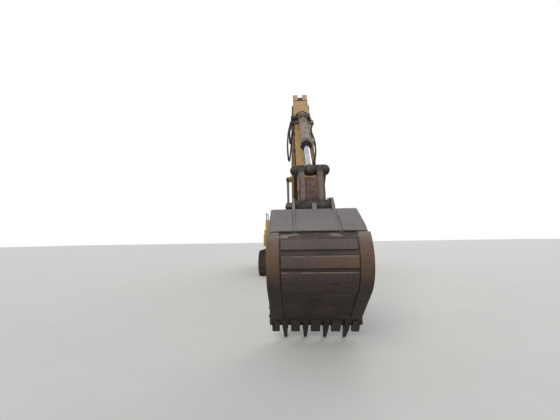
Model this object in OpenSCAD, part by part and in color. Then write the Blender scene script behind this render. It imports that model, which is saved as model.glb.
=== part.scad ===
// Crawler excavator of the thirty tonne class, parked with its bucket on its teeth.
// Millimetres. The origin is on the ground under the swing axis, +Z is up, the arm points along -Y,
// and +X is the machine's left, the cab's side. Side views are drawn as (forward, up) outlines.

/* [Tracks] */
// Number of shoes round each track
shoe_count = 50; // [44:1:56]
// Pitch of the track chain
shoe_pitch = 203; // [190:1:216]
// Width of a track shoe
shoe_w = 600; // [500:10:700]
// Distance between the centre lines of the tracks
gauge = 2600; // [2500:10:2750]
// Teeth round a drive sprocket
sprocket_teeth = 25; // [23:2:27]
// Height of the bars on a shoe
grouser_h = 26; // [18:1:36]
// Width of a track frame's beam
track_frame_w = 300; // [280:5:340]
// Track rollers under each frame
roller_count = 8; // [7:1:9]
// Thickness of the plates that hold rollers and idlers
frame_plate_t = 30; // [20:1:36]

/* [House] */
// Width of the house
house_w = 2980; // [2900:10:3060]
// Height of the underside of the house deck
deck_bottom = 1130; // [1110:5:1180]
// Thickness of the house deck
deck_t = 270; // [230:5:320]
// Tail radius of the counterweight
tail_r = 3200; // [3100:10:3300]
// Height of the counterweight
weight_h = 1120; // [1000:10:1220]
// Height of the engine housing above the deck
hood_h = 1010; // [900:10:1080]
// Thickness of the sheet panels and doors
panel_t = 40; // [30:1:50]
// Corner radius of the tanks and the hood
sheet_r = 45; // [30:5:60]
// Height of the hydraulic tank above the deck
tank_h = 950; // [850:10:980]
// Height of the step box above the deck
step_box_h = 460; // [400:10:520]
// Radius of the handrail tube
handrail_r = 19; // [14:1:24]

/* [Cab] */
// Width of the cab
cab_w = 950; // [900:5:980]
// Length of the cab
cab_l = 1950; // [1850:10:2000]
// Height of the cab roof above the deck
cab_h = 1650; // [1550:10:1750]
// Thickness of the cab walls
cab_wall = 60; // [45:1:75]
// Thickness of the window glass
glass_t = 8; // [6:1:12]
// Height of the window sills above the deck
sill_h = 560; // [520:10:620]

/* [Boom] */
// Boom length between its foot pin and its nose pin
boom_l = 6150; // [5900:10:6300]
// Width of the boom's box section
boom_w = 480; // [460:2:500]
// Width of the boom foot between its brackets
boom_foot_w = 550; // [530:2:560]
// Distance of each boom cylinder from the centre plane
boom_cyl_x = 400; // [396:1:405]
// How far the flange plates stand out beside the webs
flange_lip = 14; // [8:1:20]
// Thickness of the flange plates
flange_t = 22; // [16:1:28]

/* [Stick] */
// Stick length between its top pin and the bucket pin
stick_l = 3200; // [3000:10:3400]
// Width of the stick
stick_w = 370; // [350:2:400]
// Lean of the parked stick from the vertical
stick_lean = 37; // [34:0.5:40]
// Length of the stick's tail behind its top pin
stick_tail = 820; // [780:5:860]
// Thickness of the pin ears on boom and stick
ear_plate_t = 40; // [30:1:45]

/* [Bucket] */
// Width of the bucket over its side plates
bucket_w = 1160; // [1100:10:1240]
// Clear width between the bucket ears
ear_gap = 500; // [490:2:520]
// Thickness of a bucket ear
ear_t = 40; // [30:1:50]
// Thickness of the bucket shell
shell_t = 22; // [16:1:30]
// Thickness of the wear strips across the back
strip_t = 16; // [10:1:22]
// Width of the wear bands at the bucket's corners
band_w = 130; // [100:5:160]
// Length of a tooth in front of the lip
tooth_l = 275; // [240:5:300]
// Width of a tooth at the lip
tooth_w = 72; // [60:2:100]
// Number of teeth
tooth_count = 4; // [3:1:5]

/* [Cylinders] */
// Outer radius of a boom cylinder barrel
boom_barrel_r = 88; // [80:1:90]
// Outer radius of the stick cylinder barrel
stick_barrel_r = 95; // [85:1:100]
// Outer radius of the bucket cylinder barrel
bucket_barrel_r = 83; // [76:1:88]
// Radius of the piston rods
rod_r = 50; // [45:1:55]
// Width of a cylinder eye
eye_w = 110; // [100:2:114]
// Radius of the main pins
pin_r = 50; // [45:1:55]
// Side clearance between pieces that turn on one pin
side_gap = 6; // [5:0.5:8]
// Radial clearance between a pin and its bore
pin_fit = 0.1; // [0.05:0.05:0.2]
// Bright rod that shows on a parked boom cylinder, up to its eye's centre
boom_rod_shown = 1190; // [1150:5:1230]
// Bright rod that shows on the parked stick cylinder
stick_rod_shown = 990; // [950:5:1030]
// Bright rod that shows on the parked bucket cylinder
bucket_rod_shown = 802; // [780:1:830]

/* [Hidden] */
$fn = 48;

// Colours as the photographed machine has them
house_paint = "#b98526";
arm_paint = "#c9932f";
lower_paint = "#a97a2c";
barrel_paint = "#8f7a58";
track_steel = "#3b3430";
cast_steel = "#4a4038";
pin_steel = "#8a8580";
chrome = "#c9ccd0";
link_rust = "#6b4438";
bucket_rust = "#5b4034";
plate_rust = "#8c5a38";
dark_trim = "#2e2e30";

// Vectors in the side view
function rot(v, a) = [v[0] * cos(a) - v[1] * sin(a), v[0] * sin(a) + v[1] * cos(a)];
function dir(a) = [cos(a), sin(a)];
function angle_of(v) = atan2(v[1], v[0]);

// Clearance between pieces that sit on each other
seat = 0.3;

// Track loop
pitch_r = shoe_pitch / (2 * sin(360 / sprocket_teeth));
track_base = (shoe_count * shoe_pitch - 2 * PI * pitch_r) / 2;
link_out = 45;
link_in = 60;
shoe_t = 15;
track_z = pitch_r + link_out + shoe_t + grouser_h;
rail_in = 45;
rail_w = 50;
track_x = gauge / 2;
idler_f = track_base / 2;

// Deck and house
deck_top = deck_bottom + deck_t;
half_w = house_w / 2;
deck_rear = -2480;
hood_front = -1180;
seam = 6;

// Arm pins in the side view, from the bucket up to the boom foot
bucket_pin_b = [430, 76];
lip = [320, -1565];
tooth_tip = lip + tooth_l * dir(230);
pin_a_z = -tooth_tip[1];
boom_foot = [100, deck_top + 700];
stick_dir = dir(stick_lean - 90);
stick_front = dir(stick_lean);
pin_d_z = pin_a_z + stick_l * cos(stick_lean);
boom_chord = asin((pin_d_z - boom_foot[1]) / boom_l);
pin_d = boom_foot + boom_l * dir(boom_chord);
pin_a = pin_d + stick_l * stick_dir;
pin_b = pin_a + bucket_pin_b;
pin_c = pin_a + [200, 680];

// Places on the stick, along it from the top pin and out from its centre line
function on_stick(p) = pin_d + p[0] * stick_dir + p[1] * stick_front;
stick_cyl_eye = [-stick_tail, 260];
bucket_cyl_foot = [600, 430];
idler_pivot = [stick_l - 400, 0];
pin_g = on_stick(stick_cyl_eye);
pin_f = on_stick(bucket_cyl_foot);
pin_e = on_stick(idler_pivot);

// Places on the boom, along the line between its pins and up from it
function on_boom(p) = boom_foot + rot(p, boom_chord);
boom_cyl_eye = [2570, 880];
stick_cyl_foot = [3150, 1470];
pin_q = on_boom(boom_cyl_eye);
pin_j = on_boom(stick_cyl_foot);
pin_h = [580, deck_top - 30];

// Bracket plates that carry the boom
bracket_t = 50;
bracket_x = boom_foot_w / 2 + side_gap + bracket_t / 2;

// Draws a side view (forward, up) across the machine
module across(w, x = 0)
    translate([x, 0, 0]) rotate([90, 0, -90]) linear_extrude(w, center = true) children();

// Draws a front view (left, up) along the machine between two forward limits
module along(f)
    translate([0, -f[0], 0]) rotate([90, 0, 0]) linear_extrude(f[1] - f[0]) children();

// Draws a plan (left, forward) upwards between two heights
module plan(z)
    translate([0, 0, z[0]]) mirror([0, 1, 0]) linear_extrude(z[1] - z[0]) children();

// Turns a piece built up local +Z to run from p at angle a in the side view
module aim(p, a, x = 0)
    translate([x, -p[0], p[1]]) rotate([90 - a, 0, 0]) children();

module both_sides() {
    children();
    mirror([1, 0, 0]) children();
}

// A round bar across the machine
module bar(p, r, w, x = 0) across(w, x) translate(p) circle(r);

// A box given by its forward, left and height limits
module block(f, x, z)
    translate([x[0], -f[1], z[0]]) cube([x[1] - x[0], f[1] - f[0], z[1] - z[0]]);

// A box with rounded upright corners
module tank(f, x, z, r = sheet_r)
    plan(z) offset(r = r) offset(delta = -r) translate([x[0], f[0]]) square([x[1] - x[0], f[1] - f[0]]);

// A round pipe through points given as (left, forward, up)
module pipe(points, r) {
    for (i = [1 : len(points) - 1])
        let(a = points[i - 1], v = points[i] - a)
        translate([a[0], -a[1], a[2]]) rotate([0, acos(v[2] / norm(v)), atan2(-v[1], v[0])])
            cylinder(h = norm(v), r = r);
    for (i = [1 : len(points) - 2])
        translate([points[i][0], -points[i][1], points[i][2]]) sphere(r);
}

// Lift-off hinge at (left, forward): a fixed knuckle with its pin, and a knuckle that drops over it
knuckle_h = 45;
hinge_pin_r = 6;
hinge_room = 5;
module knuckle(p, z, r, h = knuckle_h) translate([p[0], -p[1], z]) cylinder(h = h, r = r);
module fixed_knuckles(p, levels, r) for (z = levels) {
    knuckle(p, z, r);
    knuckle(p, z, hinge_pin_r, 2 * knuckle_h);
}
module door_knuckles(p, levels, r) for (z = levels) knuckle(p, z + knuckle_h + 1, r);
module fixed_knuckle_room(p, levels, r)
    for (z = levels) knuckle(p, z - hinge_room, r + hinge_room, knuckle_h + hinge_room + 1);
module door_knuckle_room(p, levels, r) for (z = levels) difference() {
    knuckle(p, z + knuckle_h, r + hinge_room, knuckle_h + hinge_room);
    knuckle(p, z, hinge_pin_r, 2 * knuckle_h);
}
module hinge_bores(p, levels) for (z = levels) knuckle(p, z, hinge_pin_r + pin_fit, 2 * knuckle_h + 2);

// Point and direction on the chain's pin line, at a length s along it
function loop_at(s) =
    let(arc = PI * pitch_r, total = 2 * track_base + 2 * arc, t = s - total * floor(s / total))
    t < track_base ? [[t - track_base / 2, pitch_r], 0]
    : t < track_base + arc
        ? let(a = (t - track_base) / pitch_r * 180 / PI)
          [[track_base / 2, 0] + pitch_r * dir(90 - a), -a]
    : t < 2 * track_base + arc
        ? [[track_base / 2 - (t - track_base - arc), -pitch_r], -180]
    : let(a = (t - 2 * track_base - arc) / pitch_r * 180 / PI)
      [[-track_base / 2, 0] + pitch_r * dir(270 - a), -180 - a];

// One shoe's outline with its three bars: length along the chain, height over its pin line
function shoe_outline() =
    let(half = shoe_pitch / 2, top = link_out + shoe_t, tip = top + grouser_h)
    concat(
        [[-half + 2, top]],
        [for (u = [-0.34, 0, 0.34], k = [[-9, top], [0, tip], [9, top]])
            [u * shoe_pitch + k[0], k[1]]],
        [[half - 2, top], [half, link_out + 3]]);

loop_steps = 16;
function loop_ring(v) = concat(
    [for (i = [0 : loop_steps]) [track_base / 2, 0] + (pitch_r + v) * dir(90 - 180 * i / loop_steps)],
    [for (i = [0 : loop_steps]) [-track_base / 2, 0] + (pitch_r + v) * dir(270 - 180 * i / loop_steps)]);

module track(x) color(track_steel) {
    shoe = shoe_outline();
    outer = [for (i = [0 : shoe_count - 1])
        let(at = loop_at((i + 0.5) * shoe_pitch))
        for (p = shoe) at[0] + rot(p, at[1])];
    across(shoe_w, x) translate([0, track_z]) difference() {
        polygon(outer);
        polygon(loop_ring(link_out));
    }
    for (side = [-1, 1])
        across(rail_w, x + side * (rail_in + rail_w / 2)) translate([0, track_z]) difference() {
            polygon(loop_ring(link_out + 1));
            polygon(loop_ring(-link_in));
        }
}

module left_track() track(track_x);
module right_track() track(-track_x);

// Track rollers run on the chain's rails, inside the loop
roller_r = 92;
roller_z = track_z - pitch_r + link_in + roller_r + seat;
carrier_r = 72;
carrier_z = track_z + pitch_r - link_in - carrier_r - seat;
carrier_f = [-650, 650];
roller_span = 2750;
frame_bottom = roller_z + roller_r + 30;
frame_top = frame_bottom + 300;
flange_out = rail_in + rail_w + 22;
bracket_in = flange_out + 3;

function roller_f(i) = -roller_span / 2 + i * roller_span / (roller_count - 1);

// A roller with flanges outside the two rails, on a shaft between two distances from its middle
module roller(r, shaft)
    rotate([0, 90, 0]) rotate_extrude() polygon(concat(
        [[0, shaft[0]], [34, shaft[0]], [34, -flange_out]],
        [[r + 20, -flange_out], [r + 20, -flange_out + 18], [r, -rail_in - rail_w - 2]],
        [[r, -rail_in + 4], [r - 22, -rail_in + 16], [r - 22, rail_in - 16], [r, rail_in - 4]],
        [[r, rail_in + rail_w + 2], [r + 20, flange_out - 18], [r + 20, flange_out]],
        [[34, flange_out], [34, shaft[1]], [0, shaft[1]]]));

module track_rollers() color(cast_steel) both_sides() {
    for (i = [0 : roller_count - 1])
        translate([track_x, -roller_f(i), roller_z]) roller(roller_r, [-bracket_in, bracket_in]);
    for (f = carrier_f)
        translate([track_x, -f, carrier_z]) roller(carrier_r, [-bracket_in, flange_out + 12]);
}

// Front idler: a rim for the rails, a central flange and a web with holes, on a shaft in the fork
idler_r = (pitch_r - link_in) * cos(90 / loop_steps) - seat;
idler_rim = 60;
module idlers() color(cast_steel) both_sides()
    translate([track_x, -idler_f, track_z]) rotate([0, 90, 0]) difference() {
        rotate_extrude() polygon([[0, -track_frame_w / 2], [70, -track_frame_w / 2], [70, -40],
            [idler_r - idler_rim, -40], [idler_r - idler_rim, -rail_in - rail_w], [idler_r,
            -rail_in - rail_w],
            [idler_r, -rail_in + 3], [idler_r + 30, -rail_in + 12], [idler_r + 30, rail_in - 12],
            [idler_r, rail_in - 3], [idler_r, rail_in + rail_w], [idler_r - idler_rim, rail_in + rail_w],
            [idler_r - idler_rim, 40], [70, 40], [70, track_frame_w / 2], [0, track_frame_w / 2]]);
        for (a = [0 : 60 : 300])
            rotate(a) translate([(idler_r - idler_rim + 70) / 2, 0]) cylinder(h = 200, r = 48,
                center = true);
    }

// The teeth stand between the chain's pins: from the rear arc's start to its first pin, and half a step
rear_arc_start = 2 * track_base + PI * pitch_r;
first_pin = shoe_pitch * ceil(rear_arc_start / shoe_pitch) - rear_arc_start;
sprocket_phase = first_pin / pitch_r * 180 / PI + 180 / sprocket_teeth;

// Drive sprocket with its final drive outside it and the travel motor inside the frame plate
module sprockets() color(cast_steel) both_sides() translate([track_x, idler_f, track_z]) rotate([0, 90,
    0]) {
    difference() {
        linear_extrude(2 * rail_in - 20, center = true) polygon([for (i = [0 : sprocket_teeth - 1])
            let(step = 360 / sprocket_teeth, a = i * step + sprocket_phase)
            for (k = [[-0.30, -34], [-0.13, 16], [0.13, 16], [0.30, -34]])
                (pitch_r + k[1]) * dir(a + k[0] * step)]);
        cylinder(h = 200, r = 200, center = true);
    }
    rotate_extrude() polygon([[0, -track_frame_w / 2], [150, -track_frame_w / 2], [190, -120], [230, -60],
        [230, -20], [285, -20], [285, 20], [215, 20], [205, 110], [170, 150], [60, 165], [0, 165]]);
    translate([0, 0, -track_frame_w / 2 - frame_plate_t - 150]) cylinder(h = 150, r = 135);
}

// Track frame: a beam with a sloped top, roller brackets, the idler's fork and the drive's mount
beam_f = [-1420, 1400];
module beam_side() polygon([[beam_f[0], frame_bottom], [beam_f[1], frame_bottom], [beam_f[1],
    frame_top - 120],
    [beam_f[1] - 220, frame_top], [beam_f[0] + 240, frame_top], [beam_f[0], frame_top - 60]]);
module beam_section() {
    half = track_frame_w / 2;
    polygon([[-half, frame_bottom], [half, frame_bottom], [half, frame_top - 130], [0.3 * half, frame_top],
        [-half, frame_top]]);
}
module side_plate(side) across(frame_plate_t, track_x + side * (track_frame_w + frame_plate_t) / 2)
    children();
module roller_bracket(side) across(frame_plate_t, track_x + side * (bracket_in + frame_plate_t / 2))
    children();

module track_frames() color(lower_paint) both_sides() {
    intersection() {
        across(track_frame_w, track_x) beam_side();
        along([beam_f[0] - 1, beam_f[1] + 1]) translate([track_x, 0]) beam_section();
    }
    for (side = [-1, 1]) {
        roller_bracket(side) for (i = [0 : roller_count - 1]) translate([roller_f(i), 0])
            polygon([[-62, frame_bottom + 1], [-40, roller_z - 45], [40, roller_z - 45], [62,
                frame_bottom + 1]]);
        side_plate(side) polygon([[beam_f[1] - 60, frame_bottom + 10], [idler_f + 130, track_z - 90],
            [idler_f + 130, track_z + 90], [beam_f[1] - 60, frame_top - 140]]);
    }
    roller_bracket(-1) for (f = carrier_f)
        polygon([[f - 90, frame_top - 1], [f - 45, carrier_z + 45], [f + 45, carrier_z + 45], [f + 90,
            frame_top - 1]]);
    side_plate(-1) hull() {
        translate([-idler_f, track_z]) circle(230);
        translate([beam_f[0], frame_bottom]) square([60, frame_top - 60 - frame_bottom]);
    }
}

// Car body: the centre box under the swing bearing, with legs that slope out to the track frames
body_z = [470, 930];
body_half = [620, 760];
body_corner = 160;
leg_end = track_x - track_frame_w / 2 - seat;
leg_tip_z = [body_z[0] + 60, frame_top - 30];
ring_r = 740;
ring_z = deck_bottom - 60;
ring_gap = 0.4;

module body_plan() {
    offset(delta = body_corner, chamfer = true) square(2 * (body_half - [body_corner, body_corner]),
        center = true);
    for (side = [-1, 1], end = [-1, 1])
        polygon([[side * 400, end * 180], [side * leg_end, end * 370], [side * leg_end, end * 900],
            [side * 440, end * (body_half[1] - 20)]]);
}
module body_front() polygon([[-leg_end, leg_tip_z[0]], [-500, body_z[0]], [500, body_z[0]],
    [leg_end, leg_tip_z[0]], [leg_end, leg_tip_z[1]], [body_half[0], body_z[1]], [-body_half[0], body_z[1]],
    [-leg_end, leg_tip_z[1]]]);

module car_body() color(lower_paint) {
    difference() {
        union() {
            intersection() {
                plan(body_z) body_plan();
                along([-1000, 1000]) body_front();
            }
            translate([0, 0, body_z[1] - 1]) cylinder(h = ring_z - body_z[1], r = ring_r - 45);
            translate([0, 0, ring_z - 50]) cylinder(h = 50, r = ring_r);
        }
        translate([0, 0, body_z[0] - 1]) cylinder(h = 121, r = 420);
    }
    for (end = [-1, 1]) tow_lug(end);
}

// Towing eye at each end of the car body
tow_r = 38;
tow_t = 70;
tow_f = body_half[1] + 90;
tow_z = body_z[0] + 110;
module tow_lug(end) across(tow_t) difference() {
    hull() {
        translate([end * tow_f, tow_z]) circle(85);
        translate([end * (body_half[1] - 5), tow_z]) square([10, 200], center = true);
    }
    translate([end * tow_f, tow_z]) circle(tow_r);
}

// Revolving frame: swing ring, centre box, side decks and the brackets for boom and cylinders
tank_in = boom_cyl_x + 130;
deck_plate = 60;
skirt_t = 110;
cab_rear = -230;
left_front = cab_rear + cab_l + 20;
right_front = 1500;
module bracket_plate() hull() {
    translate(boom_foot) circle(220);
    translate([-300, deck_top + 100]) square([650, 10]);
}
module foot_plate() {
    bracket_plate();
    polygon([[-900, deck_bottom], [500, deck_bottom], [560, deck_bottom + 120], [560, deck_top + 60],
        [350, deck_top + 110], [-300, deck_top + 110], [-900, deck_top]]);
    translate(pin_h) circle(135);
}
cyl_lug_t = 40;
cyl_lug_x = boom_cyl_x + eye_w / 2 + side_gap + cyl_lug_t / 2;
module cyl_lug() hull() {
    translate(pin_h) circle(125);
    translate([260, deck_bottom + 20]) square([180, deck_t - 20]);
}

module revolving_frame() color(house_paint) difference() {
    union() {
        translate([0, 0, ring_z + ring_gap]) cylinder(h = deck_bottom - ring_z, r = ring_r);
        difference() {
            union() {
                block([deck_rear, 600], [-bracket_x + 20, bracket_x - 20], [deck_bottom, deck_top]);
                block([deck_rear, 760], [-half_w, half_w], [deck_top - deck_plate, deck_top]);
                block([700, left_front], [tank_in, half_w], [deck_top - deck_plate, deck_top]);
                block([700, right_front], [-half_w, -tank_in], [deck_top - deck_plate, deck_top]);
                block([deck_rear, left_front], [half_w - skirt_t, half_w], [deck_bottom + 20, deck_top]);
                block([deck_rear, right_front], [-half_w, -half_w + skirt_t], [deck_bottom + 20, deck_top]);
                for (f = [-1700, -900, 0, 690])
                    block([f, f + 60], [-half_w + 60, half_w - 60], [deck_bottom + 50, deck_top - 30]);
                block([left_front - 40, left_front], [tank_in, half_w], [deck_bottom + 60, deck_top]);
                block([right_front - 40, right_front], [-half_w, -tank_in], [deck_bottom + 60, deck_top]);
            }
            both_sides() block([430, 1000], [bracket_x - 21, tank_in - 5], [ring_z - 60, deck_top + 300]);
            block([601, 1000], [-bracket_x, bracket_x], [ring_z - 60, deck_top + 300]);
        }
        both_sides() across(bracket_t, bracket_x) foot_plate();
        both_sides() across(cyl_lug_t, cyl_lug_x) cyl_lug();
    }
    bar(boom_foot, pin_r + pin_fit, 2 * bracket_x + 2 * bracket_t);
    bar(pin_h, pin_r + pin_fit, 2 * cyl_lug_x + 2 * cyl_lug_t);
}

// Pins of the boom cylinders' feet, through the foot plates and the outer lugs
foot_pin_x = [bracket_x - bracket_t / 2 - 10, cyl_lug_x + cyl_lug_t / 2 + 10];
module foot_pins() color(pin_steel) both_sides()
    bar(pin_h, pin_r, foot_pin_x[1] - foot_pin_x[0], (foot_pin_x[0] + foot_pin_x[1]) / 2);

// Counterweight: a cast block with its rear face struck from the swing axis, and two lifting eyes
weight_z = [deck_bottom + 40, deck_bottom + 40 + weight_h];
lift_eye = [-2850, weight_z[1] + 38];
module counterweight() color(house_paint) {
    difference() {
        intersection() {
            rotate_extrude($fn = 128) polygon([[0, weight_z[0]], [tail_r - 150, weight_z[0]],
                [tail_r, weight_z[0] + 240], [tail_r, weight_z[1] - 90], [tail_r - 70, weight_z[1]], [0,
                weight_z[1]]]);
            block([-tail_r, deck_rear - seat], [-half_w, half_w], weight_z);
        }
        both_sides() translate([half_w, tail_r, 0]) rotate(45) cube([420, 420, 6000], center = true);
        block([-tail_r - 1, -tail_r + 60], [-260, 260], [weight_z[0] + 330, weight_z[1] - 330]);
    }
    both_sides() across(36, 700) difference() {
        union() {
            translate(lift_eye) circle(58);
            translate([lift_eye[0] - 58, weight_z[1] - 1]) square([116, lift_eye[1] - weight_z[1]]);
        }
        translate(lift_eye) circle(28);
    }
}

hood_half = 720;
bay_top = deck_top + hood_h - panel_t;
module engine_block() color(cast_steel) {
    block([-2150, -1450], [-650, 650], [deck_top + 80, deck_top + 800]);
    for (x = [-500, 500]) block([-2100, -1500], [x - 60, x + 60], [deck_top, deck_top + 80]);
    translate([-650, 1800, deck_top + 420]) rotate([0, -90, 0]) cylinder(h = 420, r = 170);
}

module cooler_core() color(dark_trim) {
    block([-2330, -1290], [1010, 1190], [deck_top + 40, bay_top - 110]);
    for (f = [-2330, -1350]) block([f, f + 60], [1040, 1160], [deck_top, deck_top + 41]);
}

// Side housings: walls and tops beside the engine bay, open where the doors are
post_w = 120;
lintel_h = 90;
bay_f = [deck_rear + 1, hood_front];
hinge_at = [half_w, bay_f[0] + post_w - 1];
hinge_levels = [deck_top + 170, bay_top - lintel_h - 260];
side_knuckle_r = 13;
hood_hinge_x = [-480, 400];
hood_axis = [bay_f[1] - panel_t - 1, bay_top + 1];
hood_knuckle_r = 10;

// Slots through or into a panel, one above another
module louvres(f, x, z, count) {
    step = (z[1] - z[0]) / count;
    for (i = [0 : count - 1]) block(f, x, [z[0] + i * step, z[0] + (i + 0.45) * step]);
}

// The hood's hinges: a fixed knuckle with its pin, and one on the hood beside it
module hood_knuckle(x, w, r) bar(hood_axis, r, w, x + w / 2);
module side_housings() color(house_paint) difference() {
    union() {
        block([bay_f[1] - panel_t, bay_f[1]], [-half_w, half_w], [deck_top, bay_top]);
        both_sides() {
            block([bay_f[0], bay_f[0] + panel_t], [hood_half, half_w], [deck_top, bay_top]);
            block([bay_f[1] - post_w, bay_f[1] - panel_t + 1], [half_w - panel_t, half_w], [deck_top,
                bay_top]);
            block([bay_f[0] + panel_t - 1, bay_f[0] + post_w], [half_w - panel_t, half_w], [deck_top,
                bay_top]);
            block([bay_f[0] + post_w - 1, bay_f[1] - post_w + 1], [half_w - panel_t, half_w],
                [bay_top - lintel_h, bay_top]);
            block(bay_f, [hood_half + seam, half_w], [bay_top - 1, bay_top + panel_t]);
            fixed_knuckles(hinge_at, hinge_levels, side_knuckle_r);
        }
        tank([bay_f[1] - 1, cab_rear - 60], [tank_in + 40, half_w], [deck_top, bay_top - 60]);
        for (x = hood_hinge_x) {
            hood_knuckle(x, 40, hood_knuckle_r);
            hood_knuckle(x, 88, hinge_pin_r);
        }
    }
    both_sides() door_knuckle_room(hinge_at, hinge_levels, side_knuckle_r);
    for (x = hood_hinge_x) difference() {
        hood_knuckle(x + 40, 52, hood_knuckle_r + hinge_room);
        hood_knuckle(x, 88, hinge_pin_r);
    }
    louvres([bay_f[1] + 120, cab_rear - 180], [half_w - 14, half_w + 1], [deck_top + 220, bay_top - 200],
        12);
}

// Side doors with cooling louvres
door_f = [bay_f[0] + post_w + seam, bay_f[1] - post_w - seam];
door_z = [deck_top + seam, bay_top - lintel_h - seam];
module side_door(columns) difference() {
    union() {
        block(door_f, [half_w - panel_t, half_w], door_z);
        door_knuckles(hinge_at, hinge_levels, side_knuckle_r);
    }
    for (i = [0 : columns - 1]) let(step = (door_f[1] - door_f[0] - 240) / columns,
        f = door_f[0] + 140 + i * step)
        louvres([f, f + step - 40], [half_w - panel_t - 1, half_w + 1], [door_z[0] + 110,
            door_z[1] - 130], 14);
    fixed_knuckle_room(hinge_at, hinge_levels, side_knuckle_r);
    hinge_bores(hinge_at, hinge_levels);
}
module left_side_door() color(house_paint) side_door(2);
module right_side_door() color(house_paint) mirror([1, 0, 0]) side_door(1);

// Engine hood over the middle of the bay, hinged at its front edge
hood_rise = 150;
hood_f = [deck_rear + 6, hood_axis[0]];
module hood_plan() translate([-hood_half, hood_f[0]]) square([2 * hood_half, hood_f[1] - hood_f[0]]);
module engine_hood() color(house_paint) difference() {
    union() {
        intersection() {
            plan([hood_axis[1], hood_axis[1] + hood_rise]) offset(r = sheet_r) offset(delta = -sheet_r)
                hood_plan();
            along([hood_f[0] - 1, hood_f[1] + 1]) polygon([[-hood_half, bay_top], [hood_half, bay_top],
                [hood_half, bay_top + 90], [hood_half - 110, bay_top + hood_rise], [110 - hood_half,
                bay_top + hood_rise],
                [-hood_half, bay_top + 90]]);
        }
        for (x = hood_hinge_x) hood_knuckle(x + 41, 46, hood_knuckle_r);
    }
    plan([bay_top, bay_top + hood_rise - panel_t]) offset(delta = -panel_t) hood_plan();
    for (x = hood_hinge_x) {
        hood_knuckle(x - hinge_room, 40 + hinge_room + 1, hood_knuckle_r + hinge_room);
        hood_knuckle(x, 90, hinge_pin_r + pin_fit);
    }
    for (i = [0 : 5]) block([-2200 + i * 110, -2150 + i * 110], [-420, 420], [bay_top + 50,
        bay_top + hood_rise + 1]);
}

// Right side tanks and the step box in front of them
tank_x = [-half_w, -tank_in - 10];
module hydraulic_tank() color(house_paint) {
    tank([bay_f[1] + seat, -250], tank_x, [deck_top, deck_top + tank_h]);
    translate([-1000, 700, deck_top + tank_h - 1]) cylinder(h = 46, r = 70);
}
module fuel_tank() color(house_paint) {
    tank([-249, 720], tank_x, [deck_top, deck_top + tank_h - 20]);
    translate([-1180, -480, deck_top + tank_h - 21]) cylinder(h = 61, r = 58);
}
module tool_box() color(house_paint) across(tank_x[1] - tank_x[0], (tank_x[0] + tank_x[1]) / 2)
    polygon([[721, deck_top], [right_front - 20, deck_top], [right_front - 20, deck_top + step_box_h / 2],
        [right_front - 290, deck_top + step_box_h / 2], [right_front - 290, deck_top + step_box_h],
        [721, deck_top + step_box_h]]);

// Exhaust stack with a slanted mouth
stack_r = 62;
stack_h = 430;
module exhaust() color("#5a4a40") translate([-900, 1880, bay_top + panel_t]) difference() {
    union() {
        cylinder(h = 22, r = stack_r + 34);
        cylinder(h = stack_h, r = stack_r);
    }
    translate([0, 0, 120]) cylinder(h = stack_h, r = stack_r - 6);
    translate([0, 0, stack_h + 40]) rotate([-30, 0, 0]) cube([400, 400, 160], center = true);
}

// Handrails: (left, forward, up) points of each bent tube
module handrails() color(dark_trim) {
    x = -half_w + 45;
    step_x = -half_w + 330;
    step_top = deck_top + step_box_h;
    tank_top = deck_top + tank_h - 20;
    pipe([[step_x, right_front - 330, step_top], [step_x, right_front - 330, step_top + 720],
        [step_x, 800, step_top + 720], [step_x, 800, step_top]], handrail_r);
    pipe([[x, 640, tank_top], [x, 640, tank_top + 330], [x, -150, tank_top + 330], [x, -150, tank_top]],
        handrail_r);
    for (side = [-1, 1]) let(rail_x = side * (half_w - 45), top = bay_top + panel_t)
        pipe([[rail_x, -1300, top], [rail_x, -1300, top + 260], [rail_x, -2380, top + 260], [rail_x,
            -2380, top]],
            handrail_r);
}

// Cab: a hollow box with a raked windscreen
cab_x0 = half_w - cab_w;
cab_top = deck_top + cab_h;
cab_front = cab_rear + cab_l;
cab_mid = cab_x0 + cab_w / 2;
sill = deck_top + sill_h;
rake = 190;
function cab_side(d) = [[cab_rear + d, deck_top + d], [cab_front - d, deck_top + d], [cab_front - d, sill],
    [cab_front - rake - d, cab_top - 110 - d], [cab_front - rake - 140 - d, cab_top - d],
    [cab_rear + 120 + d, cab_top - d], [cab_rear + d, cab_top - 100 - d]];
function screen_f(z) = cab_front - rake * (z - sill) / (cab_top - 110 - sill);

// Openings in the cab, each by its two forward or side limits and its two heights
cab_door_f = [cab_rear + 560, cab_front - 280];
cab_door_z = [deck_top + 70, cab_top - 140];
rear_side_f = [cab_rear + 110, cab_door_f[0] - 80];
right_side_f = [cab_rear + 130, cab_front - 330];
side_z = [sill, cab_top - 170];
low_z = [deck_top + 120, deck_top + 500];
screen_z = [sill + 30, cab_top - 200];
rear_z = [sill + 40, cab_top - 210];
front_half = cab_w / 2 - 80;
rear_half = cab_w / 2 - 110;
cab_hinge = [half_w + 4, cab_door_f[0]];
cab_levels = [deck_top + 260, cab_top - 520];
cab_knuckle_r = 16;

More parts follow.
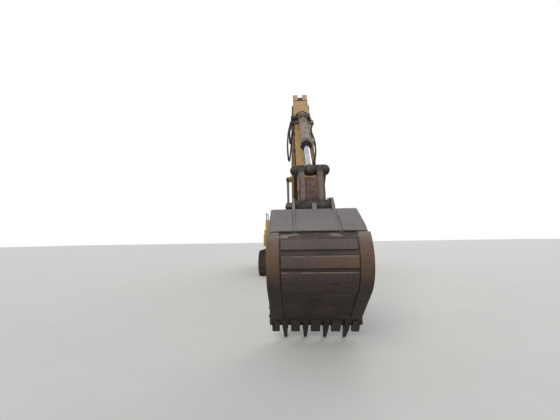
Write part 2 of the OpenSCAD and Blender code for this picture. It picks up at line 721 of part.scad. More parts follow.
module cab_opening(f, z, r = 60) offset(r) offset(-r) translate([f[0], z[0]]) square([f[1] - f[0],
    z[1] - z[0]]);
module cab_shell() color(house_paint) difference() {
    union() {
        difference() {
            across(cab_w, cab_mid) polygon(cab_side(0));
            across(cab_w - 2 * cab_wall, cab_mid) polygon(cab_side(cab_wall));
            across(2 * cab_wall + 2, half_w) cab_opening(cab_door_f, cab_door_z);
            across(2 * cab_wall + 2, half_w) cab_opening(rear_side_f, side_z);
            across(2 * cab_wall + 2, cab_x0) cab_opening(right_side_f, side_z);
            block([cab_front - 190, cab_front + 10], [cab_mid - front_half, cab_mid + front_half], low_z);
            block([cab_front - 470, cab_front + 10], [cab_mid - front_half, cab_mid + front_half],
                screen_z);
            block([cab_rear - 10, cab_rear + 190], [cab_mid - rear_half, cab_mid + rear_half], rear_z);
        }
        fixed_knuckles(cab_hinge, cab_levels, cab_knuckle_r);
    }
    door_knuckle_room(cab_hinge, cab_levels, cab_knuckle_r);
}

module cab_glass() color("#9fb4bb", 0.4) {
    across(glass_t, cab_x0 + cab_wall / 2) offset(delta = -seat) cab_opening(right_side_f, side_z);
    across(glass_t, half_w - cab_wall / 2) offset(delta = -seat) cab_opening(rear_side_f, side_z);
    block([cab_rear + 26, cab_rear + 26 + glass_t], [cab_mid - rear_half + seat,
        cab_mid + rear_half - seat],
        [rear_z[0] + seat, rear_z[1] - seat]);
    block([cab_front - 30, cab_front - 30 + glass_t], [cab_mid - front_half + seat,
        cab_mid + front_half - seat],
        [low_z[0] + seat, low_z[1] - seat]);
    let(z = [screen_z[0] + seat, screen_z[1] - seat])
        across(2 * (front_half - seat), cab_mid) polygon([[screen_f(z[0]) - 30, z[0]],
            [screen_f(z[1]) - 30, z[1]],
            [screen_f(z[1]) - 30 - glass_t, z[1]], [screen_f(z[0]) - 30 - glass_t, z[0]]]);
}

// Cab inside: floor, seat frame, side consoles with their levers, travel levers and display
floor_z = deck_top + cab_wall + 25;
seat_top = floor_z + 330;
seat_f = [120, 620];
console_z = floor_z + 520;
module cab_interior() color(dark_trim) {
    block([cab_rear + cab_wall + 5, cab_front - cab_wall - 5], [cab_x0 + cab_wall + 5,
        half_w - cab_wall - 5],
        [deck_top + cab_wall + seat, floor_z]);
    block([seat_f[0] + 40, seat_f[1] - 60], [cab_mid - 190, cab_mid + 190], [floor_z - 1, seat_top - 60]);
    block([seat_f[0] - 20, seat_f[1]], [cab_mid - 240, cab_mid + 240], [seat_top - 61, seat_top]);
    block([seat_f[0] - 40, seat_f[0] - 20 + 1], [cab_mid - 225, cab_mid + 225], [seat_top - 61,
        seat_top + 700]);
    for (side = [-1, 1]) {
        translate([side * 305 + cab_mid, 0, 0]) block([seat_f[0], seat_f[0] + 560], [-55, 55],
            [floor_z - 1, console_z]);
        pipe([[cab_mid + side * 305, seat_f[0] + 480, console_z - 1], [cab_mid + side * 300,
            seat_f[0] + 500, console_z + 110]], 16);
        translate([cab_mid + side * 300, -seat_f[0] - 500, console_z + 110]) sphere(28);
        pipe([[cab_mid + side * 90, 1230, floor_z - 1], [cab_mid + side * 90, 1290, floor_z + 460]], 12);
        translate([cab_mid + side * 90, 0, 0]) block([1190, 1420], [-60, 60], [floor_z - 1, floor_z + 40]);
    }
    pipe([[cab_mid - 330, 1420, floor_z - 1], [cab_mid - 330, 1400, floor_z + 640]], 16);
    block([1370, 1400], [cab_mid - 385, cab_mid - 205], [floor_z + 560, floor_z + 700]);
}

// The chair's cushions
module seat_cushions() color("#26262a") {
    tank([seat_f[0] + 110, seat_f[1] + 10], [cab_mid - 235, cab_mid + 235], [seat_top + seat,
        seat_top + 110]);
    along([seat_f[0] - 19 + seat, seat_f[0] + 90]) offset(r = 50) offset(delta = -50)
        translate([cab_mid - 220, seat_top + 115]) square([440, 560]);
    along([seat_f[0] - 19 + seat, seat_f[0] + 60]) offset(r = 40) offset(delta = -40)
        translate([cab_mid - 120, seat_top + 690]) square([240, 150]);
}

door_frame_w = 80;
door_pane_f = [cab_door_f[0] + door_frame_w, cab_door_f[1] - door_frame_w];
door_pane_z = [sill - 20, cab_door_z[1] - door_frame_w];
module cab_door() color(house_paint) difference() {
    union() {
        difference() {
            across(cab_wall, half_w - cab_wall / 2) offset(delta = -seam) cab_opening(cab_door_f,
                cab_door_z);
            across(cab_wall + 2, half_w - cab_wall / 2) cab_opening(door_pane_f, door_pane_z);
        }
        door_knuckles(cab_hinge, cab_levels, cab_knuckle_r);
        pipe([[half_w - 10, cab_door_f[1] - 50, sill - 260], [half_w + 45, cab_door_f[1] - 50, sill - 260],
            [half_w + 45, cab_door_f[1] - 50, sill + 60], [half_w - 10, cab_door_f[1] - 50,
            sill + 60]], 11);
    }
    fixed_knuckle_room(cab_hinge, cab_levels, cab_knuckle_r);
    hinge_bores(cab_hinge, cab_levels);
}
module cab_door_glass() color("#9fb4bb", 0.4) across(glass_t, half_w - cab_wall / 2)
    offset(delta = -seat) cab_opening(door_pane_f, door_pane_z);

// Work lamps: (left, forward, up) of each foot; two on the cab roof and one on the step box
lamp_feet = [[cab_x0 + 150, cab_front - 400, cab_top], [half_w - 150, cab_front - 400, cab_top],
    [-half_w + 200, right_front - 60, deck_top + step_box_h / 2]];
module work_lamps() color("#d8d4c4") for (p = lamp_feet) translate([p[0], -p[1], p[2]]) {
    translate([-35, -25, 0]) cube([70, 50, 30]);
    translate([0, 20, 85]) rotate([90, 0, 0]) cylinder(h = 75, r1 = 44, r2 = 64);
}

// Boom: a bent box with a forked nose; lengths run along the line between its pins
nose_slot = 620;
nose_ear_in = stick_w / 2 + side_gap;
module boom_outline() translate(boom_foot) rotate(boom_chord) offset(r = 150) offset(delta = -150)
    polygon([[-90, 210], [700, 620], [2050, 1250], [2500, 1370], [3000, 1350], [boom_l - 2750, 1200],
        [boom_l, 152], [boom_l + 160, 60], [boom_l + 160, -60], [boom_l, -165], [boom_l - 1150, 90],
        [boom_l - 2650, 520], [0.47 * boom_l, 630], [0.37 * boom_l, 585], [0.29 * boom_l, 430], [1000,
        80], [60, -220], [-150, -165], [-215, 0]]);

module boom() color(house_paint) difference() {
    union() {
        across(boom_w - 2 * flange_lip) boom_outline();
        across(boom_w) difference() {
            boom_outline();
            offset(delta = -flange_t) boom_outline();
        }
        bar(boom_foot, 200, boom_foot_w);
        bar(pin_q, 120, 2 * (boom_cyl_x - eye_w / 2 - side_gap));
        both_sides() bar(pin_d, 150, (boom_w - stick_w) / 2 - side_gap + 14,
            (boom_w + stick_w + 2 * side_gap + 28) / 4);
        both_sides() across(ear_plate_t, (eye_w + ear_plate_t) / 2 + side_gap) hull() {
            translate(pin_j) circle(110);
            translate(boom_foot) rotate(boom_chord) translate(stick_cyl_foot - [280, 210]) square([420,
                10]);
        }
    }
    bar(boom_foot, pin_r + pin_fit, house_w);
    bar(pin_d, pin_r + pin_fit, house_w);
    bar(pin_q, pin_r + pin_fit, house_w);
    bar(pin_j, pin_r + pin_fit, house_w);
    across(2 * nose_ear_in) translate(boom_foot) rotate(boom_chord)
        translate([boom_l - nose_slot, -800]) square([2000, 1600]);
}

// Pins that turn with the boom; the cylinder rods' eyes sit against the ends of the third
pin_end = 10;
module boom_pins() color(pin_steel) {
    bar(boom_foot, pin_r, 2 * bracket_x + bracket_t + 2 * pin_end);
    bar(pin_d, pin_r, boom_w + 28 + 2 * pin_end);
    bar(pin_q, pin_r, 2 * (boom_cyl_x - eye_w / 2 - seat));
    bar(pin_j, pin_r, eye_w + 2 * side_gap + 2 * ear_plate_t + 2 * pin_end);
}

// A cylinder barrel from its foot pin: the eye, a neck, the tube, its head and the oil pipe beside it
foot_eye_r = 95;
neck_l = 185;
neck_r = eye_w / 2 - 3;
gland_l = 150;
oil_pipe_r = 12;
module barrel(p, a, x, r, l, side = 1) difference() {
    union() {
        bar(p, foot_eye_r, eye_w, x);
        aim(p, a, x) {
            cylinder(h = neck_l + 1, r = neck_r);
            translate([0, 0, neck_l - 45]) cylinder(h = 45, r1 = neck_r, r2 = r);
            translate([0, 0, neck_l]) cylinder(h = l - neck_l - 20, r = r);
            translate([0, 0, l - gland_l]) cylinder(h = 60, r = r + 8);
            translate([0, 0, l - gland_l + 59]) cylinder(h = gland_l - 79, r = r + 22);
            translate([0, 0, l - 21]) cylinder(h = 21, r = r - 12);
            let(off = side * (r + oil_pipe_r + 8), z = [neck_l + 100, l - gland_l - 50])
                pipe([[side * (r - 8), 0, z[0]], [off, 0, z[0]], [off, 0, z[1]], [side * (r - 8), 0, z[1]]],
                    oil_pipe_r);
        }
    }
    bar(p, pin_r + pin_fit, 400, x);
    aim(p, a, x) translate([0, 0, neck_l + 15]) cylinder(h = l, r = rod_r + 0.5);
}

// A piston rod, from some way inside its barrel to its eye
rod_eye_r = 88;
module rod(p, q, x, shown, inside) {
    aim(p, angle_of(q - p), x) translate([0, 0, norm(q - p) - shown - inside]) {
        cylinder(h = shown + inside, r = rod_r);
        translate([0, 0, shown + inside - rod_eye_r - 50]) cylinder(h = 60, r = rod_r + 4);
    }
    bar(q, rod_eye_r, eye_w, x);
}

boom_rod_inside = 550;
module boom_cylinder_barrels() color(barrel_paint) for (side = [-1, 1])
    barrel(pin_h, angle_of(pin_q - pin_h), side * boom_cyl_x, boom_barrel_r,
        norm(pin_q - pin_h) - boom_rod_shown, side);
module boom_cylinder_rods() color(chrome) both_sides()
    rod(pin_h, pin_q, boom_cyl_x, boom_rod_shown, boom_rod_inside);

stick_rod_inside = 1040;
module stick_cylinder_barrel() color(barrel_paint)
    barrel(pin_j, angle_of(pin_g - pin_j), 0, stick_barrel_r, norm(pin_g - pin_j) - stick_rod_shown);
module stick_cylinder_rod() color(chrome) rod(pin_j, pin_g, 0, stick_rod_shown, stick_rod_inside);

// Stick: a tapering box with its tail ears and the bucket cylinder's bracket
module stick_plane() translate(pin_d) rotate(stick_lean - 90) children();
module stick_outline() stick_plane() offset(r = 50) offset(delta = -50)
    polygon([[-600, 120], [-330, -10], [-120, -145], [0, -165], [300, -200], [900, -205],
        [stick_l - 600, -140], [stick_l, -122], [stick_l + 122, 0], [stick_l, 122], [stick_l - 450, 135],
        [stick_l - 1000, 150], [900, 320], [-100, 345], [-600, 370]]);

// Plates over the tail, left and right of the slot that its cylinder's rod moves in
tail_cover_x = [eye_w / 2 + side_gap, stick_w / 2];
module stick() color(arm_paint) difference() {
    union() {
        across(stick_w - 2 * flange_lip) stick_outline();
        across(stick_w) difference() {
            stick_outline();
            offset(delta = -flange_t) stick_outline();
        }
        bar(pin_a, 122, ear_gap - 2 * side_gap);
        bar(pin_d, 150, stick_w);
        bar(pin_e, 90, stick_w);
        both_sides() across(tail_cover_x[1] - tail_cover_x[0], (tail_cover_x[0] + tail_cover_x[1]) / 2)
            stick_plane() translate([-stick_tail - 120, 358]) square([stick_tail - 460, 22]);
        both_sides() across(24, stick_w / 2 - 12) stick_plane()
            polygon([[-580, 240], [-580, 380], [-stick_tail - 120, 380], [-stick_tail - 120, 330]]);
        both_sides() across(ear_plate_t, (eye_w + ear_plate_t) / 2 + side_gap) {
            hull() {
                translate(pin_g) circle(110);
                stick_plane() translate([-560, 130]) square([10, 230]);
            }
            hull() {
                translate(pin_f) circle(100);
                stick_plane() translate([400, 250]) square([500, 10]);
            }
        }
    }
    bar(pin_d, pin_r + pin_fit, house_w);
    bar(pin_a, pin_r + pin_fit, house_w);
    bar(pin_f, pin_r + pin_fit, house_w);
    bar(pin_g, pin_r + pin_fit, house_w);
    bar(pin_e, pin_r + pin_fit, house_w);
}

// Pins that turn with the stick; the stick cylinder's rod eye sits between two of their ends
idler_t = 60;
idler_x = stick_w / 2 + side_gap + idler_t / 2;
ear_pin_x = [eye_w / 2 + seat, eye_w / 2 + side_gap + ear_plate_t + pin_end];
module stick_pins() color(pin_steel) {
    bar(pin_f, pin_r, 2 * ear_pin_x[1]);
    bar(pin_e, pin_r, 2 * (idler_x + idler_t / 2 + pin_end));
    both_sides() bar(pin_g, pin_r, ear_pin_x[1] - ear_pin_x[0], (ear_pin_x[0] + ear_pin_x[1]) / 2);
}

bucket_rod_inside = 780;
module bucket_cylinder_barrel() color(barrel_paint)
    barrel(pin_f, angle_of(pin_c - pin_f), 0, bucket_barrel_r, norm(pin_c - pin_f) - bucket_rod_shown);
module bucket_cylinder_rod() color(chrome) rod(pin_f, pin_c, 0, bucket_rod_shown, bucket_rod_inside);

// Linkage between stick and bucket
idler_web = 104;
idler_boss = 31;
idler_end_r = 90;
link_end_r = 86;
module idler_links() color(link_rust) both_sides() difference() {
    union() {
        across(idler_t, idler_x) {
            translate(pin_e) circle(idler_end_r);
            translate(pin_c) circle(link_end_r);
            translate(pin_e) rotate(angle_of(pin_c - pin_e)) translate([0, -idler_web / 2])
                square([norm(pin_c - pin_e), idler_web]);
        }
        bar(pin_c, link_end_r - 14, idler_t + idler_boss, idler_x + idler_boss / 2);
    }
    bar(pin_e, pin_r + pin_fit, house_w);
    bar(pin_c, pin_r + pin_fit, house_w);
}

cheek_t = 88;
cheek_x = idler_x - idler_t / 2 - side_gap - cheek_t / 2;
link_pin_x = [cheek_x + cheek_t / 2 + seat, idler_x + idler_t / 2 + idler_boss + pin_end];
module link_pin() color(pin_steel) both_sides()
    bar(pin_c, pin_r, link_pin_x[1] - link_pin_x[0], (link_pin_x[0] + link_pin_x[1]) / 2);

// Power link: two bowed cheeks over a tube that turns on the bucket pin
link_bow = 85;
link_half = 62;
module link_cheek() {
    translate(pin_b) circle(85);
    translate(pin_c) circle(link_end_r);
    polygon(concat([for (k = [0 : 8]) link_curve(k / 8, link_bow + link_half, 80)],
        [for (k = [8 : -1 : 0]) link_curve(k / 8, link_bow - link_half, -80)]));
}
// Quadratic curve from the bucket pin to the top pin, bowed away from the stick
function link_curve(t, bow, off) =
    let(n = dir(angle_of(pin_c - pin_b) - 90))
    (1 - t) * pin_b + t * pin_c + n * (off * (1 - 4 * t * (1 - t)) + bow * 4 * t * (1 - t));
module power_link() color(link_rust) difference() {
    union() {
        bar(pin_b, 95, ear_gap - 2 * side_gap);
        both_sides() across(cheek_t, cheek_x) link_cheek();
        both_sides() bar(pin_c, link_end_r - 10, cheek_x - eye_w / 2 - side_gap,
            (cheek_x + eye_w / 2 + side_gap) / 2);
        across(2 * cheek_x) polygon(concat([for (k = [1 : 11]) link_curve(k / 16, link_bow + 34, 34)],
            [for (k = [11 : -1 : 1]) link_curve(k / 16, link_bow - 30, -30)]));
    }
    bar(pin_b, pin_r + pin_fit, house_w);
}

// Bucket: wrapper plate round the heel, side plates, ears, wear plates and teeth
heel = [550, -612];
heel_r = 530;
heel_top = 50;
top_corner = [575, 20];
top_rear = [60, -250];
function heel_at(a, d = 0) = heel + (heel_r + d) * dir(a);
function bucket_back(d) = concat(
    [lip + d * dir(134)],
    [for (a = [-44 : 2 : heel_top]) heel_at(a, -d)],
    [top_corner + 1.18 * d * dir(266)], [top_rear + d * dir(297)]);
mouth = [[150, -420], [215, -700], [235, -1000], [250, -1300]];
module bucket_wall() difference() {
    polygon(concat(bucket_back(0), mouth));
    polygon(concat(bucket_back(shell_t), [[-600, -700], [-400, -1800]]));
}

module bucket_shell() color(bucket_rust) difference() {
    union() {
        across(bucket_w) translate(pin_a) polygon(concat(bucket_back(0), mouth));
        both_sides() across(ear_t, (ear_gap + ear_t) / 2) translate(pin_a) hull() {
            circle(128);
            translate(bucket_pin_b) circle(125);
            translate([650, -62]) circle(20);
            translate([60, -240]) circle(20);
        }
    }
    across(bucket_w - 2 * shell_t) translate(pin_a) polygon(concat(bucket_back(shell_t), [[-600, -700],
        [-400, -1800]]));
    bar(pin_a, pin_r + pin_fit, house_w);
    bar(pin_b, pin_r + pin_fit, house_w);
}

// A stretch of the wrapper's outside between two angles round the heel, from d0 to d1 above it
module heel_band(from, to, d0, d1) polygon(concat(
    [for (a = [from : -2 : to]) heel_at(a, d1)],
    [for (a = [to : 2 : from]) heel_at(a, d0)]));

// Wear strips across the back: (angle round the heel where it starts, where it ends)
strips = [[24, 12], [4, -10], [-16, -30], [-32, -44]];
// Corner bands and side plates start at this angle and run on down the floor
band_top = 34;
side_plate_t = 20;
shroud_w = 125;
module floor_plate(from, to, d0, d1) let(u = (lip - heel_at(-44)) / norm(lip - heel_at(-44)),
    n = dir(angle_of(u) + 90))
    polygon([heel_at(-44) + from * u + d0 * n, heel_at(-44) + to * u + d0 * n,
        heel_at(-44) + to * u + d1 * n, heel_at(-44) + from * u + d1 * n]);
floor_l = norm(lip - heel_at(-44));

corner_x = [bucket_w / 2 - 84, bucket_w / 2 - shell_t - 2];
module shroud_point(start) polygon([lip + start * dir(223) + 46 * dir(133), lip + 115 * dir(226),
    lip + 95 * dir(230) + 30 * dir(310), lip + start * dir(223) + 20 * dir(313)]);
module lip_shroud(w, x) across(w, x) translate(pin_a) difference() {
    polygon([lip + 150 * dir(43) + 34 * dir(133), lip + 10 * dir(223) + 46 * dir(133),
        lip + 115 * dir(226), lip + 95 * dir(230) + 30 * dir(310), lip + 150 * dir(43) + 16 * dir(313)]);
    offset(delta = seat) bucket_wall();
}
tooth_in = 163;
function tooth_x(i) = -bucket_w / 2 + tooth_in + i * (bucket_w - 2 * tooth_in) / (tooth_count - 1);

// Doubler plate on the bucket's flat top, between and beside the ears
doubler_x = [ear_gap / 2 + ear_t + 5, bucket_w / 2 - side_plate_t];
module top_doubler() let(u = heel_at(heel_top) - top_corner, n = dir(angle_of(u) + 90))
    polygon(concat([top_corner + 0.05 * u + seat * n],
        [for (a = [heel_top : -2 : band_top + 2]) heel_at(a, seat)],
        [for (a = [band_top + 2 : 2 : heel_top]) heel_at(a,
        strip_t)], [top_corner + 0.05 * u + strip_t * n]));

module bucket_wear_plates() color(plate_rust) {
    both_sides() {
        across(side_plate_t, bucket_w / 2 + side_plate_t / 2 + seat) translate(pin_a) difference() {
            polygon(concat([lip + [-8, 12]], [for (a = [-44 : 3 : band_top]) heel_at(a, strip_t)],
                [heel_at(band_top, -60)],
                [heel_at(10, -150)], [heel_at(-42, -150)], [[250, -1300]]));
        }
        across(band_w, (bucket_w - band_w) / 2) translate(pin_a) heel_band(band_top, -44, seat, strip_t);
        across(band_w, (bucket_w - band_w) / 2) translate(pin_a) floor_plate(5, floor_l - 215, seat,
            strip_t);
        across(30, bucket_w / 2 + side_plate_t + 15 + 2 * seat) translate(pin_a)
            polygon([lip + [-30, -10], lip + [60, 40], [330, -1180], [262, -1150], [262, -1300]]);
        lip_shroud(corner_x[1] - corner_x[0], (corner_x[0] + corner_x[1]) / 2);
        across(bucket_w / 2 + side_plate_t - corner_x[0], (bucket_w / 2 + side_plate_t + corner_x[0]) / 2)
            translate(pin_a) shroud_point(6);
    }
    for (s = strips) across(bucket_w - 2 * band_w - 40) translate(pin_a) heel_band(s[0], s[1], seat,
        strip_t);
    across(ear_gap - 10) translate(pin_a) top_doubler();
    both_sides() across(doubler_x[1] - doubler_x[0], (doubler_x[0] + doubler_x[1]) / 2) translate(pin_a)
        top_doubler();
    for (i = [1 : tooth_count - 1]) lip_shroud(shroud_w, (tooth_x(i - 1) + tooth_x(i)) / 2);
}

// Teeth: an adapter that straddles the lip and a tapered point
module tooth() translate(pin_a) difference() {
    polygon([lip + 190 * dir(43) + 40 * dir(133), lip + 60 * dir(230) + 56 * dir(133),
        tooth_tip + 9 * dir(140),
        tooth_tip + 9 * dir(320), lip + 60 * dir(230) + 44 * dir(320), lip + 150 * dir(43)
        + 26 * dir(313)]);
    offset(delta = seat) bucket_wall();
}
module bucket_teeth() color(cast_steel) intersection() {
    for (i = [0 : tooth_count - 1]) across(tooth_w, tooth_x(i)) tooth();
    along([pin_a[0] - 300, pin_a[0] + 900]) for (i = [0 : tooth_count - 1]) translate([tooth_x(i),
        pin_a[1] + lip[1]])
        polygon([[-tooth_w / 2, 300], [-tooth_w / 2, 0], [-0.3 * tooth_w, tooth_tip[1] - lip[1] - 1],
            [0.3 * tooth_w, tooth_tip[1] - lip[1] - 1], [tooth_w / 2, 0], [tooth_w / 2, 300]]);
}

pin_head_l = 80;
module bucket_pins() color(pin_steel) {
    bar(pin_a, pin_r, ear_gap + 2 * ear_t + 3 * pin_end);
    bar(pin_b, pin_r, ear_gap + 2 * ear_t + 3 * pin_end);
    bar(pin_b, pin_r + 14, pin_head_l, -(ear_gap + pin_head_l) / 2 - ear_t - seat);
}

car_body();
track_frames();
left_track();
right_track();
track_rollers();
idlers();
sprockets();
revolving_frame();
foot_pins();
counterweight();
engine_block();
cooler_core();
side_housings();
engine_hood();
left_side_door();
right_side_door();
fuel_tank();
hydraulic_tank();
tool_box();
exhaust();
handrails();
cab_shell();
cab_glass();
cab_interior();
seat_cushions();
cab_door();
cab_door_glass();
boom();
boom_pins();
boom_cylinder_barrels();
boom_cylinder_rods();
stick_cylinder_barrel();
stick_cylinder_rod();
stick();
stick_pins();
bucket_cylinder_barrel();
bucket_cylinder_rod();
idler_links();
power_link();
link_pin();
bucket_shell();
bucket_wear_plates();
bucket_teeth();
bucket_pins();
work_lamps();
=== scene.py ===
import math

import bpy
import numpy as np
from mathutils import Matrix


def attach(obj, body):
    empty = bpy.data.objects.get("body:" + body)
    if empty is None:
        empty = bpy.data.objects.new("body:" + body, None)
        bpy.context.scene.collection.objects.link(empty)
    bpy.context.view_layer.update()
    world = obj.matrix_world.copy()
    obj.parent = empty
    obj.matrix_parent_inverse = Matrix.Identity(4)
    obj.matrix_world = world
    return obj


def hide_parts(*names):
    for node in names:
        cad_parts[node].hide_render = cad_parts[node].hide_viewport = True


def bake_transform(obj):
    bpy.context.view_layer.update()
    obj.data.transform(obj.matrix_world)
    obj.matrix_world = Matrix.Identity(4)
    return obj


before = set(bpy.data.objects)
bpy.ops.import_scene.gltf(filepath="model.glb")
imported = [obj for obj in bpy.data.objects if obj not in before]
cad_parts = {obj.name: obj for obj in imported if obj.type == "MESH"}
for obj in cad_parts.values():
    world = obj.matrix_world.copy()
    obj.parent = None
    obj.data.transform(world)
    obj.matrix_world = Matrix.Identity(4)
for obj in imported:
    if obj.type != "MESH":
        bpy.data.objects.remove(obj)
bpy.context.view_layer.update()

rng = np.random.default_rng(7)

# Camera: where the photograph was taken from, found from the machine's own outline in it; distances in metres
photoCamera = {"x": -0.311, "forward": 11.492, "height": 1.38, "yawDeg": -2.628, "pitchDeg": 7.456,
               "rollDeg": -0.86, "focalPixels": 232.8, "imagePixels": 560, "sensorMm": 36, "seesTo": 300}


# Puts the camera in its place; it looks level and back, then is turned by its roll, its pitch and its yaw
def addCamera(s):
    data = bpy.data.cameras.new("photoCamera")
    data.sensor_width = s["sensorMm"]
    data.lens = s["focalPixels"] * s["sensorMm"] / s["imagePixels"]
    data.clip_end = s["seesTo"]
    camera = bpy.data.objects.new("photoCamera", data)
    bpy.context.scene.collection.objects.link(camera)
    turn = (Matrix.Rotation(math.radians(-s["yawDeg"]), 4, "Z")
            @ Matrix.Rotation(math.radians(90 + s["pitchDeg"]), 4, "X")
            @ Matrix.Rotation(math.radians(s["rollDeg"]), 4, "Z"))
    camera.matrix_world = Matrix.Translation((s["x"], -s["forward"], s["height"])) @ turn
    bpy.context.scene.camera = camera


addCamera(photoCamera)
print("camera placed")


# Colour of a hex code in the renderer's linear units, by the sRGB curve
def linear(code):
    parts = [int(code[i:i + 2], 16) / 255 for i in (1, 3, 5)]
    return [c / 12.92 if c <= 0.04045 else ((c + 0.055) / 1.055) ** 2.4 for c in parts] + [1]


# Adds one shader node; a value that is a socket gets linked, any other is set on the input
def addNode(tree, kind, inputs=None, **settings):
    node = tree.nodes.new(kind)
    for key, value in settings.items():
        setattr(node, key, value)
    for key, value in (inputs or {}).items():
        if isinstance(value, bpy.types.NodeSocket):
            tree.links.new(value, node.inputs[key])
        else:
            node.inputs[key].default_value = value
    return node


def newMaterial(name):
    material = bpy.data.materials.new(name)
    material.use_nodes = True
    material.node_tree.nodes.clear()
    return material, material.node_tree


def finishMaterial(tree, shader):
    output = addNode(tree, "ShaderNodeOutputMaterial")
    tree.links.new(shader.outputs[0], output.inputs["Surface"])


def objectPoint(tree):
    return addNode(tree, "ShaderNodeTexCoord").outputs["Object"]


def mathNode(tree, operation, a, b=0.0, clamp=False):
    return addNode(tree, "ShaderNodeMath", {0: a, 1: b}, operation=operation, use_clamp=clamp).outputs[0]


def times(tree, a, b):
    return mathNode(tree, "MULTIPLY", a, b)


# The colour a where the factor is zero and b where it is one
def mixColour(tree, factor, a, b):
    return addNode(tree, "ShaderNodeMix", {0: factor, 6: a, 7: b}, data_type="RGBA").outputs[2]


# A colour with a tone laid over it, as much as a mask times a share says
def tinted(tree, colour, mask, share, tone):
    return mixColour(tree, times(tree, mask, share), colour, linear(tone))


# A value read as a factor: 0 at its low limit, 1 at its high one, straight between them
def ramp(tree, value, low, high):
    return addNode(tree, "ShaderNodeMapRange", {"Value": value, "From Min": low, "From Max": high}).outputs[0]


# Noise at a size, squeezed along each axis by stretch, as a factor between low and high
def noiseMask(tree, point, scale, low, high, stretch=(1, 1, 1), detail=5, roughness=0.6):
    moved = addNode(tree, "ShaderNodeMapping", {"Vector": point, "Scale": stretch})
    noise = addNode(tree, "ShaderNodeTexNoise", {"Vector": moved.outputs[0], "Scale": scale, "Detail": detail,
                                                 "Roughness": roughness})
    return ramp(tree, noise.outputs[0], low, high)


# Edge wear: one minus the agreement of the true normal with a normal rounded over a small radius
def edgeMask(tree, radius, low=0.02, high=0.16):
    rounded = addNode(tree, "ShaderNodeBevel", {"Radius": radius}, samples=4)
    flat = addNode(tree, "ShaderNodeNewGeometry")
    agree = addNode(tree, "ShaderNodeVectorMath", {0: rounded.outputs[0], 1: flat.outputs["Normal"]},
                    operation="DOT_PRODUCT")
    return ramp(tree, mathNode(tree, "SUBTRACT", 1.0, agree.outputs["Value"]), low, high)


# A ramp along one object axis, in metres; absolute reads both sides of the middle alike
def axisMask(tree, point, axis, start, end, absolute=False):
    value = addNode(tree, "ShaderNodeSeparateXYZ", {"Vector": point}).outputs[axis]
    if absolute:
        value = mathNode(tree, "ABSOLUTE", value)
    return ramp(tree, value, start, end)


# One near an arm pin's axis, seen from the side, and zero further off; centre is (forward, up) in metres
def pinMask(tree, point, centre, near, far):
    parts = addNode(tree, "ShaderNodeSeparateXYZ", {"Vector": point})
    flat = addNode(tree, "ShaderNodeCombineXYZ", {1: parts.outputs[1], 2: parts.outputs[2]})
    away = addNode(tree, "ShaderNodeVectorMath", {0: flat.outputs[0], 1: (0, -centre[0], centre[1])},
                   operation="DISTANCE")
    return ramp(tree, away.outputs["Value"], far, near)


def bumpFrom(tree, height, strength, distance):
    return addNode(tree, "ShaderNodeBump", {"Height": height, "Strength": strength, "Distance": distance}).outputs[0]


# Weathered steel: a base coat with faded patches, rust where two noises agree and on worn edges, streaks that run
# down with the rain, dust that thickens downwards, and tints beside the arm's middle or round its pins
def weatheredSteel(name, s):
    material, tree = newMaterial(name)
    point = objectPoint(tree)
    base, faded, rust, rustDark, dirt, dustTone = s["tones"]
    chipScale, chipFrom = s["chips"]
    edgeRadius, edgeWear = s["edge"]
    streakScale, streakShare = s["streaks"]
    dustTop, dustShare = s["dust"]
    fade = noiseMask(tree, point, s["patches"], 0.38, 0.68)
    colour = mixColour(tree, fade, linear(base), linear(faded))
    chips = noiseMask(tree, point, chipScale, chipFrom, chipFrom + 0.05, detail=9, roughness=0.72)
    spots = times(tree, chips, noiseMask(tree, point, s["patches"] * 1.7, 0.42, 0.6))
    edge = times(tree, edgeMask(tree, edgeRadius), noiseMask(tree, point, chipScale * 0.5, 0.35, 0.6))
    worn = mathNode(tree, "MAXIMUM", spots, times(tree, edge, edgeWear))
    colour = mixColour(tree, worn, colour,
                       mixColour(tree, noiseMask(tree, point, 55, 0.3, 0.7), linear(rust), linear(rustDark)))
    streaks = noiseMask(tree, point, streakScale, 0.52, 0.78, stretch=(7, 7, 0.5))
    colour = tinted(tree, colour, streaks, streakShare, dirt)
    low = times(tree, axisMask(tree, point, 2, dustTop, 0.0), noiseMask(tree, point, 9, 0.25, 0.75))
    colour = tinted(tree, colour, low, dustShare, dustTone)
    for start, end, tone, share in s.get("sideTints", ()):
        beside = axisMask(tree, point, 0, start, end, absolute=True)
        colour = tinted(tree, colour, times(tree, beside, noiseMask(tree, point, 8, 0.3, 0.5)), share, tone)
    for centre, near, far, tone, share in s.get("pinTints", ()):
        ring = times(tree, pinMask(tree, point, centre, near, far), noiseMask(tree, point, 12, 0.2, 0.42))
        colour = tinted(tree, colour, ring, share, tone)
    grain = noiseMask(tree, point, 160, 0.2, 0.8)
    shader = addNode(tree, "ShaderNodeBsdfPrincipled", {
        "Base Color": colour, "Metallic": s["metal"],
        "Roughness": mathNode(tree, "ADD", s["rough"], times(tree, worn, 0.3)),
        "Normal": bumpFrom(tree, mathNode(tree, "ADD", worn, grain), s["bump"], 0.002)})
    finishMaterial(tree, shader)
    return material


